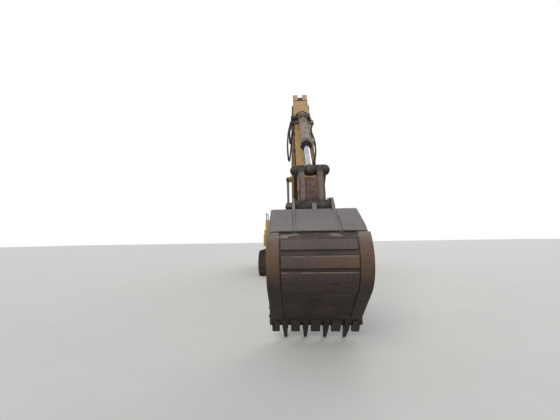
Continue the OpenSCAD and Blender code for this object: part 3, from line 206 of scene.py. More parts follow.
# The weathered finishes. Tones are the base, faded patches, rust, dark rust, dirt and dust. Patches have a scale,
# chips a scale and the level of noise they start at, edge a radius in metres and how worn it is, streaks a scale and
# a share, and dust the height in metres that it starts under, and a share. A side tint is where it starts and ends
# from the middle, its tone and share; a pin tint is the pin's place, its full and outer radius, its tone and share
finishes = {
    # Sun-bleached ochre enamel of the stick and boom, chipped to rust along its edges
    "armEnamel": {"tones": ("#ad8443", "#a2875a", "#63422c", "#3f2c22", "#665138", "#8d7a5d"), "patches": 1.6,
                  "chips": (16, 0.58), "edge": (0.012, 0.75), "streaks": (2.4, 0.6), "dust": (1.2, 0.5),
                  "rough": 0.45, "metal": 0.0, "bump": 0.35,
                  # Dark round the bucket cylinder's foot pin: painted shade of its bracket; darker round the boom
                  # cylinder's rod eye
                  "pinTints": [((6.535, 4.111), 0.09, 0.2, "#33291f", 0.9),
                               ((2.176, 3.852), 0.1, 0.135, "#4a443c", 0.9)]},
    # The same enamel on the house, cleaner and a little deeper
    "houseEnamel": {"tones": ("#b0853a", "#b08f52", "#6a452c", "#45301f", "#5f4a30", "#87765a"), "patches": 1.2,
                    "chips": (13, 0.6), "edge": (0.008, 0.5), "streaks": (1.8, 0.42), "dust": (1.9, 0.45),
                    "rough": 0.38, "metal": 0.0, "bump": 0.25},
    # Enamel low down, half hidden under dried mud
    "lowerEnamel": {"tones": ("#9a7230", "#846a3c", "#5f3b26", "#38281f", "#4c3d2c", "#7b6a52"), "patches": 2.4,
                    "chips": (12, 0.5), "edge": (0.01, 0.9), "streaks": (2.5, 0.75), "dust": (1.5, 1.1),
                    "rough": 0.62, "metal": 0.0, "bump": 0.6},
    # Tan cylinder paint with brown oil stains
    "cylinderPaint": {"tones": ("#95826f", "#7d6a5b", "#5d3a27", "#3b281f", "#4a3626", "#85745c"), "patches": 3.5,
                      "chips": (18, 0.5), "edge": (0.006, 0.8), "streaks": (3.2, 0.85), "dust": (1.0, 0.3),
                      "rough": 0.5, "metal": 0.0, "bump": 0.4,
                      # Darker round the gland and round the foot pin: rust there and painted shade
                      "pinTints": [((7.39, 3.115), 0.12, 0.16, "#3a2f29", 0.95),
                                   ((6.535, 4.111), 0.12, 0.2, "#352c26", 0.9)]},
    # Rusted plates of the power link: tan at the cheeks, greased black round both pins
    "linkSteel": {"tones": ("#53403d", "#61483f", "#78482f", "#3a2b27", "#7a6650", "#6e5e50"), "patches": 4.5,
                  "chips": (12, 0.48), "edge": (0.01, 0.6), "streaks": (3.5, 0.5), "dust": (1.0, 0.3),
                  "rough": 0.66, "metal": 0.15, "bump": 0.7,
                  "sideTints": [(0.09, 0.1, "#76695f", 0.7), (0.155, 0.165, "#40342e", 0.8)],
                  "pinTints": [((7.957, 2.456), 0.15, 0.2, "#332f2d", 1.0),
                               ((8.187, 1.852), 0.1, 0.13, "#3a322f", 0.9)]},
    # Dark greasy forgings of the idler links
    "idlerSteel": {"tones": ("#3b3430", "#473c36", "#5c3f30", "#2e2724", "#4f463a", "#5c5046"), "patches": 4.5,
                   "chips": (14, 0.52), "edge": (0.01, 0.5), "streaks": (3.5, 0.5), "dust": (1.0, 0.3),
                   "rough": 0.62, "metal": 0.15, "bump": 0.7},
    # Scoured steel of tracks, rollers and sprockets with dried earth in its corners
    "trackSteel": {"tones": ("#211f1e", "#2c2826", "#4f382b", "#28211d", "#463c31", "#5c5142"), "patches": 5.0,
                   "chips": (20, 0.48), "edge": (0.006, 0.6), "streaks": (6, 0.6), "dust": (1.1, 0.6),
                   "rough": 0.6, "metal": 0.35, "bump": 0.6},
    # Earth-polished points of the teeth and their adapters, their dark steel darkened further as painted shade low
    # under the bucket
    "toothSteel": {"tones": ("#1c1918", "#26221f", "#432e22", "#241d19", "#302822", "#3d352d"), "patches": 7.0,
                   "chips": (22, 0.5), "edge": (0.006, 0.4), "streaks": (5, 0.5), "dust": (0.3, 0.5),
                   "rough": 0.45, "metal": 0.5, "bump": 0.5},
    # Worn bare pins and bolts
    "pinSteel": {"tones": ("#46423e", "#57524c", "#6a4631", "#3a2c25", "#3f352c", "#6a5f52"), "patches": 9.0,
                 "chips": (30, 0.5), "edge": (0.004, 0.3), "streaks": (8, 0.4), "dust": (1.0, 0.3),
                 "rough": 0.42, "metal": 0.7, "bump": 0.3},
    # Cast iron of the engine and final drives
    "castIron": {"tones": ("#4a4947", "#5a5753", "#6b4b36", "#3a302a", "#37302a", "#6a6052"), "patches": 4.0,
                 "chips": (24, 0.55), "edge": (0.006, 0.3), "streaks": (5, 0.4), "dust": (1.2, 0.5),
                 "rough": 0.6, "metal": 0.3, "bump": 0.5},
    # Heat-browned sheet of the exhaust
    "exhaustSteel": {"tones": ("#54443a", "#6a5140", "#8a5532", "#3b2c25", "#2d2722", "#5f5446"), "patches": 8.0,
                     "chips": (26, 0.48), "edge": (0.004, 0.5), "streaks": (6, 0.5), "dust": (1.0, 0.1),
                     "rough": 0.6, "metal": 0.3, "bump": 0.4},
    # Black enamel of rails and brackets
    "blackEnamel": {"tones": ("#26262a", "#303033", "#5d3f2d", "#2e2621", "#4a4034", "#6a5f52"), "patches": 3.0,
                    "chips": (24, 0.6), "edge": (0.004, 0.5), "streaks": (5, 0.25), "dust": (1.5, 0.4),
                    "rough": 0.4, "metal": 0.0, "bump": 0.2},
}
steels = {name: weatheredSteel(name, s) for name, s in finishes.items()}


# Bucket steel: taupe and smooth on top, grey-brown below, darkening towards the lip as painted shade, rusty at both
# sides and darker low on them as painted shade, with pale rests on edges and in the top groove, and dark lines of
# painted shadow under the top plate and in the grooves. Heights and half widths are in metres; a line is a height
# with its share or its half height
bucketLook = {"plate": "#332a27", "low": "#241d1b", "shadeLowRight": "#231713", "top": "#74706e", "topRight": "#6f6665",
              "side": "#5d4533", "sideShade": "#2b201a", "sideTop": "#74695f", "warm": "#76502f", "shade": "#15110f",
              "rust": "#70482f", "pale": "#8a7a6c", "dust": "#4a3f35", "topFrom": 1.482, "shadeFrom": 1.25,
              "shadeTo": 0.75, "sideFrom": 0.45, "sideWide": 0.03, "groove": (1.385, 1.45), "backHalf": 0.435,
              "warmBand": (1.07, 1.2), "paleHalf": 0.006, "paleLines": ((1.199, 0.5), (1.018, 0.8), (0.882, 0.35)),
              "shadowLines": ((1.468, 0.013), (1.26, 0.012), (1.06, 0.01))}


# One within half of a height, zero beyond it, with soft ends
def lineMask(tree, point, height, half, soft=0.003):
    return times(tree, axisMask(tree, point, 2, height - half - soft, height - half + soft),
                 axisMask(tree, point, 2, height + half + soft, height + half - soft))


def bucketSteel(name, s):
    material, tree = newMaterial(name)
    point = objectPoint(tree)
    wave = noiseMask(tree, point, 3, 0.3, 0.7)
    right = axisMask(tree, point, 0, -0.4, 0.4)
    # Below, the plate darkens towards the lip, deeper on the right: painted shade
    low = mixColour(tree, right, linear(s["low"]), linear(s["shadeLowRight"]))
    colour = mixColour(tree, axisMask(tree, point, 2, s["shadeFrom"], s["shadeTo"]), linear(s["plate"]), low)
    blotch = noiseMask(tree, point, 7, 0.5, 0.72, stretch=(0.5, 1, 1.6))
    colour = tinted(tree, colour, blotch, 0.3, s["rust"])
    foot, head = s["groove"]
    band = times(tree, axisMask(tree, point, 2, foot, foot + 0.02), axisMask(tree, point, 2, head + 0.02, head))
    patch = times(tree, band, noiseMask(tree, point, 9, 0.54, 0.6, stretch=(0.5, 1, 2)))
    colour = tinted(tree, colour, patch, 0.7, s["pale"])
    back = axisMask(tree, point, 0, s["backHalf"] + 0.004, s["backHalf"] - 0.004, absolute=True)
    foot, head = s["warmBand"]
    warm = times(tree, times(tree, right, back), lineMask(tree, point, (foot + head) / 2, (head - foot) / 2))
    warm = times(tree, warm, noiseMask(tree, point, 6, 0.3, 0.5, stretch=(1, 1, 2)))
    colour = tinted(tree, colour, warm, 0.5, s["warm"])
    for height, share in s["paleLines"]:
        line = times(tree, times(tree, back, lineMask(tree, point, height, s["paleHalf"])),
                     noiseMask(tree, point, 5, 0.35, 0.5))
        colour = tinted(tree, colour, line, share, s["pale"])
    # Dark lines of painted shadow under the top plate's edge and in the grooves between the wear strips
    for height, half in s["shadowLines"]:
        line = times(tree, back, lineMask(tree, point, height, half))
        colour = tinted(tree, colour, line, 0.85, s["shade"])
    side = axisMask(tree, point, 0, s["sideFrom"], s["sideFrom"] + s["sideWide"], absolute=True)
    side = times(tree, side, noiseMask(tree, point, 4, 0.2, 0.45))
    rusty = times(tree, noiseMask(tree, point, 16, 0.45, 0.65), times(tree, axisMask(tree, point, 2, 0.9, 1.2), 0.5))
    sideTone = mixColour(tree, rusty, linear(s["side"]), linear(s["warm"]))
    # Lower down the sides darken: painted shade
    sideTone = mixColour(tree, axisMask(tree, point, 2, 1.08, 0.82), sideTone, linear(s["sideShade"]))
    sideTone = mixColour(tree, axisMask(tree, point, 2, 1.33, 1.46), sideTone, linear(s["sideTop"]))
    colour = mixColour(tree, side, colour, sideTone)
    topTone = mixColour(tree, times(tree, right, wave), linear(s["top"]), linear(s["topRight"]))
    stain = noiseMask(tree, point, 5, 0.5, 0.8, stretch=(3, 0.6, 0.6))
    topTone = tinted(tree, topTone, stain, 0.35, s["plate"])
    colour = mixColour(tree, axisMask(tree, point, 2, s["topFrom"], s["topFrom"] + 0.02), colour, topTone)
    scratch = noiseMask(tree, point, 30, 0.5, 0.75, stretch=(6, 0.35, 0.35))
    colour = tinted(tree, colour, scratch, 0.14, s["pale"])
    edge = times(tree, edgeMask(tree, 0.008), noiseMask(tree, point, 6, 0.35, 0.6))
    colour = tinted(tree, colour, edge, 0.5, s["pale"])
    dust = times(tree, axisMask(tree, point, 2, 0.35, 0.0), noiseMask(tree, point, 10, 0.3, 0.7))
    colour = tinted(tree, colour, dust, 0.5, s["dust"])
    height = mathNode(tree, "ADD", scratch, noiseMask(tree, point, 70, 0.3, 0.7))
    shader = addNode(tree, "ShaderNodeBsdfPrincipled", {
        "Base Color": colour, "Metallic": 0.2, "Normal": bumpFrom(tree, height, 0.5, 0.003),
        "Roughness": mathNode(tree, "ADD", 0.5, times(tree, wave, 0.2))})
    finishMaterial(tree, shader)
    return material


steels["bucketPlate"] = bucketSteel("bucketPlate", bucketLook)
# Wear plates: the bucket steel with a paler plate, darkening towards the lip as painted shade
steels["wearPlate"] = bucketSteel("wearPlate", {**bucketLook, "plate": "#4e4341", "low": "#2f2420",
                                                "shadeLowRight": "#2b1d18"})


# A plain finish with a slow colour drift and fine grain
def plainFinish(name, base, drift, rough, metal=0.0, coat=0.0, grain=0.15):
    material, tree = newMaterial(name)
    point = objectPoint(tree)
    colour = mixColour(tree, noiseMask(tree, point, 6, 0.35, 0.65), linear(base), linear(drift))
    shader = addNode(tree, "ShaderNodeBsdfPrincipled", {
        "Base Color": colour, "Roughness": rough, "Metallic": metal, "Coat Weight": coat,
        "Normal": bumpFrom(tree, noiseMask(tree, point, 220, 0.2, 0.8), grain, 0.001)})
    finishMaterial(tree, shader)
    return material


# Piston rod: bright hard chrome with a thin oil haze, and a dull rusted eye round its pin
def pistonRod(name, eye, bright="#b9bfca", dull="#a5a9b0"):
    material, tree = newMaterial(name)
    point = objectPoint(tree)
    near = pinMask(tree, point, eye, 0.105, 0.12)
    haze = mixColour(tree, noiseMask(tree, point, 6, 0.35, 0.65), linear(bright), linear(dull))
    rust = mixColour(tree, noiseMask(tree, point, 22, 0.35, 0.65), linear("#3b3532"), linear("#57443a"))
    grain = times(tree, noiseMask(tree, point, 120, 0.2, 0.8), near)
    shader = addNode(tree, "ShaderNodeBsdfPrincipled", {
        "Base Color": mixColour(tree, near, haze, rust),
        "Metallic": mathNode(tree, "SUBTRACT", 1.0, times(tree, near, 0.7)),
        "Roughness": mathNode(tree, "ADD", 0.2, times(tree, near, 0.4)),
        "Normal": bumpFrom(tree, grain, 0.5, 0.002)})
    finishMaterial(tree, shader)
    return material


# Window glass: mostly clear, tinted, with a thin dusty film in patches
def windowGlass(name, tint, clear):
    material, tree = newMaterial(name)
    film = times(tree, noiseMask(tree, objectPoint(tree), 3, 0.3, 0.8), 0.16)
    seeThrough = addNode(tree, "ShaderNodeBsdfTransparent", {"Color": linear(tint)})
    shine = addNode(tree, "ShaderNodeBsdfPrincipled", {"Base Color": linear("#3a4448"), "Roughness": 0.05})
    share = mathNode(tree, "ADD", film, 1 - clear, True)
    both = addNode(tree, "ShaderNodeMixShader", {0: share, 1: seeThrough.outputs[0], 2: shine.outputs[0]})
    finishMaterial(tree, both)
    return material


steels["boomRod"] = pistonRod("boomRod", (2.176, 3.852), "#8f949a", "#7c8086")
steels["stickRod"] = pistonRod("stickRod", (5.545, 5.142))
steels["bucketRod"] = pistonRod("bucketRod", (7.957, 2.456))
# Black hose rubber, dusty grey in patches
steels["hoseRubber"] = plainFinish("hoseRubber", "#1b1b1c", "#2d2b29", 0.62)
# Moulded rubber of seals, mats and pads
steels["sealRubber"] = plainFinish("sealRubber", "#202021", "#28282a", 0.7, grain=0.4)
# Grained plastic of consoles and mirror backs
steels["trimPlastic"] = plainFinish("trimPlastic", "#2b2c2f", "#333438", 0.55, grain=0.5)
# Woven seat cover, charcoal
steels["seatCloth"] = plainFinish("seatCloth", "#2c2d33", "#3a3b41", 0.85, grain=0.9)
# Bright zinc of small fittings and clamps
steels["zincPlate"] = plainFinish("zincPlate", "#8d8a80", "#6e675c", 0.38, metal=0.8)
# Dark aluminium of the cooler's fins
steels["finAluminium"] = plainFinish("finAluminium", "#5e6062", "#4b4c4d", 0.5, metal=0.6)
# Red reflector plastic
steels["reflectorPlastic"] = plainFinish("reflectorPlastic", "#8c1d18", "#a3241c", 0.25, coat=0.6)
# Silvered mirror glass and lamp bowls
steels["mirrorSilver"] = plainFinish("mirrorSilver", "#e3e5e6", "#dadcdd", 0.06, metal=1.0, grain=0.0)
# Dark screen glass
steels["screenGlass"] = plainFinish("screenGlass", "#0d1014", "#11151a", 0.08, coat=1.0, grain=0.0)
steels["windowGlass"] = windowGlass("windowGlass", "#dbe5e6", 0.86)
steels["lampGlass"] = windowGlass("lampGlass", "#f2f3f0", 0.85)

# Which finish each CAD piece wears
nodeFinish = {
    "lowerEnamel": ["car_body", "track_frames"],
    "trackSteel": ["left_track", "right_track", "track_rollers", "idlers", "sprockets"],
    "houseEnamel": ["revolving_frame", "counterweight", "side_housings", "engine_hood", "left_side_door",
                    "right_side_door", "fuel_tank", "hydraulic_tank", "tool_box", "cab_shell", "cab_door"],
    "pinSteel": ["foot_pins", "boom_pins", "stick_pins", "link_pin", "bucket_pins"],
    "castIron": ["engine_block"],
    "finAluminium": ["cooler_core"],
    "exhaustSteel": ["exhaust"],
    "blackEnamel": ["handrails"],
    "windowGlass": ["cab_glass", "cab_door_glass"],
    "trimPlastic": ["cab_interior", "seat_cushions"],
    "armEnamel": ["boom", "stick"],
    "cylinderPaint": ["boom_cylinder_barrels", "stick_cylinder_barrel", "bucket_cylinder_barrel"],
    "boomRod": ["boom_cylinder_rods"],
    "stickRod": ["stick_cylinder_rod"],
    "bucketRod": ["bucket_cylinder_rod"],
    "linkSteel": ["power_link"],
    "idlerSteel": ["idler_links"],
    "bucketPlate": ["bucket_shell"],
    "wearPlate": ["bucket_wear_plates"],
    "toothSteel": ["bucket_teeth"],
    "zincPlate": ["work_lamps"],
}
for finish, names in nodeFinish.items():
    for name in names:
        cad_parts[name].data.materials.clear()
        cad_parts[name].data.materials.append(steels[finish])
print("materials made for", len(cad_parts), "pieces")


# A point from its distances in millimetres to the left, forward and up
def place(x, forward, up):
    return np.array([x, -forward, up], float) / 1000


# Joins parts, each an array of points with its faces, into one mesh that rides on a body; smooth is the angle in
# degrees over which an edge stays sharp, bevel a width in metres
def addPiece(name, parts, finish, body, smooth=0.0, bevel=0.0):
    points = np.vstack([p for p, _ in parts])
    faces = []
    start = 0
    for p, f in parts:
        faces.extend([tuple(int(i) + start for i in face) for face in f])
        start += len(p)
    mesh = bpy.data.meshes.new(name)
    mesh.from_pydata(points.tolist(), [], faces)
    mesh.update()
    if smooth:
        mesh.polygons.foreach_set("use_smooth", np.ones(len(mesh.polygons), bool))
        mesh.set_sharp_from_angle(angle=math.radians(smooth))
    mesh.materials.append(steels[finish])
    piece = bpy.data.objects.new(name, mesh)
    bpy.context.scene.collection.objects.link(piece)
    if bevel:
        rounding = piece.modifiers.new("rounding", "BEVEL")
        rounding.width = bevel
        rounding.segments = 2
        rounding.limit_method = "ANGLE"
    if body:
        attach(piece, body)
    return piece


# Each direction as a unit vector, and two more square to it, from its cross product with an axis it isn't along
def squareTo(direction):
    d = np.atleast_2d(np.asarray(direction, float))
    d = d / np.linalg.norm(d, axis=1, keepdims=True)
    helper = np.where(np.abs(d[:, 2:3]) < 0.9, [[0.0, 0.0, 1.0]], [[1.0, 0.0, 0.0]])
    side = np.cross(helper, d)
    side /= np.linalg.norm(side, axis=1, keepdims=True)
    return d, side, np.cross(d, side)


boxFaces = [(0, 1, 3, 2), (4, 6, 7, 5), (0, 4, 5, 1), (2, 3, 7, 6), (0, 2, 6, 4), (1, 5, 7, 3)]


# A box from its limits in millimetres: left, forward and up, which pointAt turns into points
def boxPart(x, forward, up, pointAt=place):
    return np.array([pointAt(a, b, c) for c in up for b in forward for a in x]), boxFaces


# A block that stands on a spot: a width and a height about it, and from start to end outwards, in millimetres
def blockOn(spot, side, up, out, wide, tall, start, end):
    side, up, out = (np.asarray(way, float) / 1000 for way in (side, up, out))
    return boxPart((-wide / 2, wide / 2), (-tall / 2, tall / 2), (start, end),
                   lambda a, b, c: spot + side * a + up * b + out * c)


# A plate: an outline in millimetres (forward, up), clockwise as seen from the right of the machine with its front
# to the right, carried across from one left limit to another
def platePart(outline, x):
    count = len(outline)
    points = np.array([place(side, f, z) for side in x for f, z in outline])
    faces = [tuple(range(count)), tuple(range(2 * count - 1, count - 1, -1))]
    return points, faces + [(i, (i + 1) % count, (i + 1) % count + count, i + count) for i in range(count)]


# A ring surface from stacked rings of equal count, closed by a face at both ends, or, where it is a loop, by joining
# its last ring to its first
def ringSkin(rings, loop=False):
    count, sides = len(rings), len(rings[0])
    faces = []
    for i in range(count if loop else count - 1):
        for j in range(sides):
            k, after = (j + 1) % sides, (i + 1) % count
            faces.append((i * sides + j, i * sides + k, after * sides + k, after * sides + j))
    if not loop:
        faces.append(tuple(range(sides))[::-1])
        faces.append(tuple((count - 1) * sides + j for j in range(sides)))
    return np.vstack(rings), faces


# Points evenly round a unit circle in the plane of two directions
def roundIn(u, v, sides, start=0.0):
    angle = np.linspace(0, 2 * math.pi, sides, endpoint=False) + start
    return np.cos(angle)[:, None] * u + np.sin(angle)[:, None] * v


# A turned shape: each profile pair is (distance along the axis, radius) in millimetres; a loop's profile is closed
def turnedPart(origin, axis, profile, sides=24, loop=False):
    d, u, v = (w[0] for w in squareTo(axis))
    circle = roundIn(u, v, sides)
    return ringSkin([origin + d * along / 1000 + circle * max(radius, 0.05) / 1000 for along, radius in profile],
                    loop)


# A smooth path through points, by Catmull-Rom pieces with several steps each
def smoothPath(points, steps):
    p = np.asarray(points, float)
    p = np.vstack([2 * p[0] - p[1], p, 2 * p[-1] - p[-2]])
    out = []
    for i in range(1, len(p) - 2):
        for t in np.linspace(0, 1, steps, endpoint=False):
            a, b, c, d = p[i - 1:i + 3]
            out.append(0.5 * (2 * b + (c - a) * t + (2 * a - 5 * b + 4 * c - d) * t ** 2
                              + (3 * b - a - 3 * c + d) * t ** 3))
    return np.array(out + [p[-2]])


# A tube round a path: each ring is turned on from the last one by the change of the path's direction
def tubePart(points, radius, sides=10, steps=6):
    path = smoothPath(points, steps) if steps > 1 else np.asarray(points, float)
    tangent = np.gradient(path, axis=0)
    tangent /= np.linalg.norm(tangent, axis=1, keepdims=True)
    side = squareTo(tangent[0])[1][0]
    radii = np.broadcast_to(np.asarray(radius, float), (len(path),)) / 1000
    rings = []
    for centre, t, r in zip(path, tangent, radii):
        side = side - t * np.dot(side, t)
        side /= np.linalg.norm(side)
        rings.append(centre + r * roundIn(side, np.cross(t, side), sides))
    return ringSkin(rings)


# A bolt head on its washer, as rings from the seat up: height and radius as shares of the bolt's, and corners
boltRings = ((0, 1.35, 12), (0.22, 1.35, 12), (0.22, 1.0, 6), (0.85, 1.0, 6), (1.0, 0.85, 6))


# Bolts: one template of stacked rings, copied to each place, turned to its direction and spun at random
def boltParts(places, directions, radius=12, height=10):
    rings = []
    for along, size, corners in boltRings:
        step = 12 // corners
        angle = (np.arange(12) // step * step) * 2 * math.pi / 12
        rings.append(np.column_stack([np.cos(angle) * size * radius, np.sin(angle) * size * radius,
                                      np.full(12, along * height)]) / 1000)
    template, faces = ringSkin(rings)
    places = np.atleast_2d(places)
    d, u, v = squareTo(np.broadcast_to(np.asarray(directions, float), places.shape))
    spin = rng.uniform(0, math.pi / 3, len(places))[:, None]
    first, second = np.cos(spin) * u + np.sin(spin) * v, np.cos(spin) * v - np.sin(spin) * u
    return [(places[i] + template[:, :1] * first[i] + template[:, 1:2] * second[i] + template[:, 2:] * d[i], faces)
            for i in range(len(places))]


# Bolts evenly round a circle about an axis
def boltCircle(centre, axis, circle, count, radius, height, start=0.0):
    d, u, v = (w[0] for w in squareTo(axis))
    return boltParts(centre + roundIn(u, v, count, start) * circle / 1000, d, radius, height)


# A weld bead: a thin tube whose radius ripples along its path
def weldPart(points, radius=6, ripple=14):
    path = [np.asarray(points[0], float)]
    for a, b in zip(points[:-1], points[1:]):
        count = max(2, int(np.linalg.norm(np.subtract(b, a)) * 1000 / ripple * 2))
        path.extend(np.asarray(a) + (np.asarray(b) - np.asarray(a)) * t for t in np.linspace(0, 1, count + 1)[1:])
    size = radius * (1 + 0.18 * np.cos(np.arange(len(path)) * math.pi) + rng.uniform(-0.08, 0.08, len(path)))
    return tubePart(path, size, sides=6, steps=1)


# Side-view frames of the arm: origin (forward, up) in millimetres, and the angle of its length in degrees
armFrames = {"boom": ((100.0, 2100.0), 21.27), "stick": ((5831.0, 4331.3), -53.0),
             "bucket": ((7756.8, 1775.7), 0.0), "bucketCylinder": ((6535.5, 4110.9), -49.35),
             "stickCylinder": ((2502.0, 4612.7), 9.88), "boomCylinder": ((580.0, 1370.0), 57.27)}


# A direction given along a side-view frame and outwards from it, turned by the frame's angle
def armDirection(name, along, out):
    turn = math.radians(armFrames[name][1])
    forward = along * math.cos(turn) - out * math.sin(turn)
    return np.array([0.0, -forward, along * math.sin(turn) + out * math.cos(turn)])


def armPoint(name, x, along, out):
    return place(x, *armFrames[name][0]) + armDirection(name, along, out) / 1000


# Points of an arm's frame, each given as (left, along, out)
def armPoints(name, points):
    return [armPoint(name, *p) for p in points]


def armBox(name, x, along, out):
    return boxPart(x, along, out, lambda a, b, c: armPoint(name, a, b, c))


# The spot and normal where a ray meets a CAD piece
def landOn(node, start, direction):
    hit, spot, normal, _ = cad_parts[node].ray_cast([float(v) for v in start], [float(v) for v in direction])
    return (np.array(spot), np.array(normal)) if hit else (np.asarray(start, float), -np.asarray(direction, float))


# The spot and normal of the boom under a point of its frame, found by a ray from above it
def landOnBoom(x, along, above=2600):
    return landOn("boom", armPoint("boom", x, along, above), armDirection("boom", 0, -1))


# A hose's route: even steps of 1.2 diameters, straight for two steps from each end, and the rest pulled halfway to
# the middle of its neighbours ten times, which opens a right angle to a bend of about four diameters
def hoseRoute(points, radius):
    path = smoothPath(points, 6)
    gone = np.append(0, np.cumsum(np.linalg.norm(np.diff(path, axis=0), axis=1)))
    count = max(12, int(gone[-1] * 1000 / (2.4 * radius)))
    even = np.linspace(0, gone[-1], count + 1)
    path = np.stack([np.interp(even, gone, path[:, i]) for i in range(3)], axis=1)
    for end in (path, path[::-1]):
        end[1:3] = end[0] + (end[1] - end[0]) * np.array([[1.0], [2.0]])
    for _ in range(10):
        path[3:-3] += 0.25 * (path[2:-4] + path[4:-2] - 2 * path[3:-3])
    return path


# A hose's hexagon fitting: distance from the end in millimetres, and radius as a share of the hose's
hoseFitting = [(-2, 1.15), (26, 1.35), (26, 1.6), (44, 1.6), (46, 1.25), (95, 1.2)]


# A hose with a fitting at each end
def hosePart(points, radius, sides=10):
    path = hoseRoute(points, radius)
    profile = [(along, radius * share) for along, share in hoseFitting]
    return [tubePart(path, radius, sides=sides, steps=1), turnedPart(path[0], path[1] - path[0], profile, 6),
            turnedPart(path[-1], path[-2] - path[-1], profile, 6)]


# Hoses over a joint: one piece that rides on no body, with its placement baked into its points
def blendHoses(name, parts):
    hoses = addPiece(name, parts, "hoseRubber", None, smooth=60)
    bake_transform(hoses)


# Track chain: pin heads and bushings at every pin, and four bolts in each shoe's valleys
trackChain = {"centre": 1300, "axleUp": 494.14, "pitch": 203, "pinLine": 408.14, "straight": 3792.8, "shoes": 50,
              "railOut": 95, "head": [(-4, 39), (5, 36), (5, 27), (9, 23), (9, 9), (4, 6)], "bushing": 29,
              "bushingHalf": 44, "shoeSkin": 60, "valley": 34.5, "boltSide": 70, "boltRadius": 12, "boltHigh": 10}


# Point on the pin line and its direction, at a length along the loop: two straights joined by half circles
def onChain(length, s):
    straight, r = s["straight"], s["pinLine"]
    arc = math.pi * r
    t = length % (2 * straight + 2 * arc)
    if t < straight:
        return t - straight / 2, r, 0.0
    if t < straight + arc:
        a = (t - straight) / r
        return straight / 2 + r * math.sin(a), r * math.cos(a), -a
    if t < 2 * straight + arc:
        return straight / 2 - (t - straight - arc), -r, -math.pi
    a = (t - 2 * straight - arc) / r
    return -straight / 2 - r * math.sin(a), -r * math.cos(a), -math.pi - a


def addTrackChain(s):
    heads, boltPlaces, boltWays = [], [], []
    half = s["bushingHalf"]
    for side in (-1, 1):
        for i in range(s["shoes"]):
            f, z, _ = onChain(i * s["pitch"], s)
            middle = place(side * s["centre"], f, s["axleUp"] + z)
            for way in (-1, 1):
                heads.append(turnedPart(middle + place(way * s["railOut"], 0, 0), (way, 0, 0), s["head"], 14))
            heads.append(turnedPart(middle - place(half, 0, 0), (1, 0, 0),
                                    [(0, s["bushing"]), (2 * half, s["bushing"])], 14))
            f, z, turn = onChain((i + 0.5) * s["pitch"], s)
            c, n = math.cos(turn), math.sin(turn)
            for u in (-s["valley"], s["valley"]):
                for x in (-s["boltSide"], s["boltSide"]):
                    boltPlaces.append(place(side * s["centre"] + x, f + u * c - s["shoeSkin"] * n,
                                            s["axleUp"] + z + u * n + s["shoeSkin"] * c))
                    boltWays.append((0, n, c))
    addPiece("trackPins", heads, "trackSteel", "undercarriage", smooth=40)
    addPiece("shoeBolts", boltParts(boltPlaces, boltWays, s["boltRadius"], s["boltHigh"]), "pinSteel",
             "undercarriage")


addTrackChain(trackChain)

# Bolts and covers of final drives, sprockets, rollers, idlers and the swing ring. A bolt is a radius and a height;
# rollerBolts are their distance from the roller's axle and above it
runningGear = {"centre": 1300, "axleUp": 494.14, "driveForward": -1896.4, "idlerForward": 1896.4, "discHalf": 35,
               "discCircle": (312, 20, 13, 12), "coverFace": 155, "coverCircle": (128, 12, 9, 10), "plugFace": 163,
               "plug": [(0, 62), (9, 60), (12, 52), (12, 16), (7, 12)], "rollerUp": 238.3, "rollerSpan": 2750,
               "rollers": 8, "plateFace": 150, "rollerCap": [(-4, 33), (12, 33), (16, 29), (16, 10), (12, 8)],
               "rollerBolts": (26, 62), "rollerBolt": (9, 9),
               "idlerCap": [(-3, 64), (10, 64), (14, 58), (14, 24), (9, 20)], "idlerCircle": (45, 6, 7, 7),
               "frameBoltsTo": 1180, "frameBoltsUp": 420, "frameBolt": (10, 9), "ringUnder": 1020,
               "ringCircle": (716, 40, 12, 14)}


def addRunningGear(s):
    bolts, caps = [], []
    for side in (-1, 1):
        drive = place(side * s["centre"], s["driveForward"], s["axleUp"])
        idler = place(side * s["centre"], s["idlerForward"], s["axleUp"])
        out = (side, 0, 0)
        bolts += boltCircle(drive + place(side * s["discHalf"], 0, 0), out, *s["discCircle"])
        bolts += boltCircle(drive + place(side * s["coverFace"], 0, 0), out, *s["coverCircle"])
        caps.append(turnedPart(drive + place(side * s["plugFace"], 0, 0), out, s["plug"], 32))
        for x in (-s["plateFace"], s["plateFace"]):
            way = (1 if x > 0 else -1, 0, 0)
            for i in range(s["rollers"]):
                f = -s["rollerSpan"] / 2 + i * s["rollerSpan"] / (s["rollers"] - 1)
                spot = place(side * s["centre"] + x, f, s["rollerUp"])
                caps.append(turnedPart(spot, way, s["rollerCap"], 20))
                off, high = s["rollerBolts"]
                bolts += boltParts([spot + place(0, u, high) for u in (-off, off)], way, *s["rollerBolt"])
            spot = idler + place(x, 0, 0)
            caps.append(turnedPart(spot, way, s["idlerCap"], 28))
            bolts += boltCircle(spot + place(10 * way[0], 0, 0), way, *s["idlerCircle"])
        bolts += boltParts([place(side * (s["centre"] + s["plateFace"]), f, s["frameBoltsUp"])
                            for f in np.linspace(-s["frameBoltsTo"], s["frameBoltsTo"], 9)], out, *s["frameBolt"])
    bolts += boltCircle(place(0, 0, s["ringUnder"]), (0, 0, -1), *s["ringCircle"])
    addPiece("runningGearBolts", bolts, "pinSteel", "undercarriage")
    addPiece("rollerCaps", caps, "trackSteel", "undercarriage", smooth=35)


addRunningGear(runningGear)

# Travel hoses: from a junction on the car body, over the rear leg and along the track frame to each motor; apart is
# the room between them
travelHoses = {"radius": 13, "count": 3, "apart": 34, "junction": (455, -600, 930), "junctionBox": (70, 30, 62),
               "clampsForward": (-1080, -1400), "clamp": ((1078, 1150), 22, (548, 660)),
               "legClamp": ((890, 960), (-750, -580), (745, 830))}


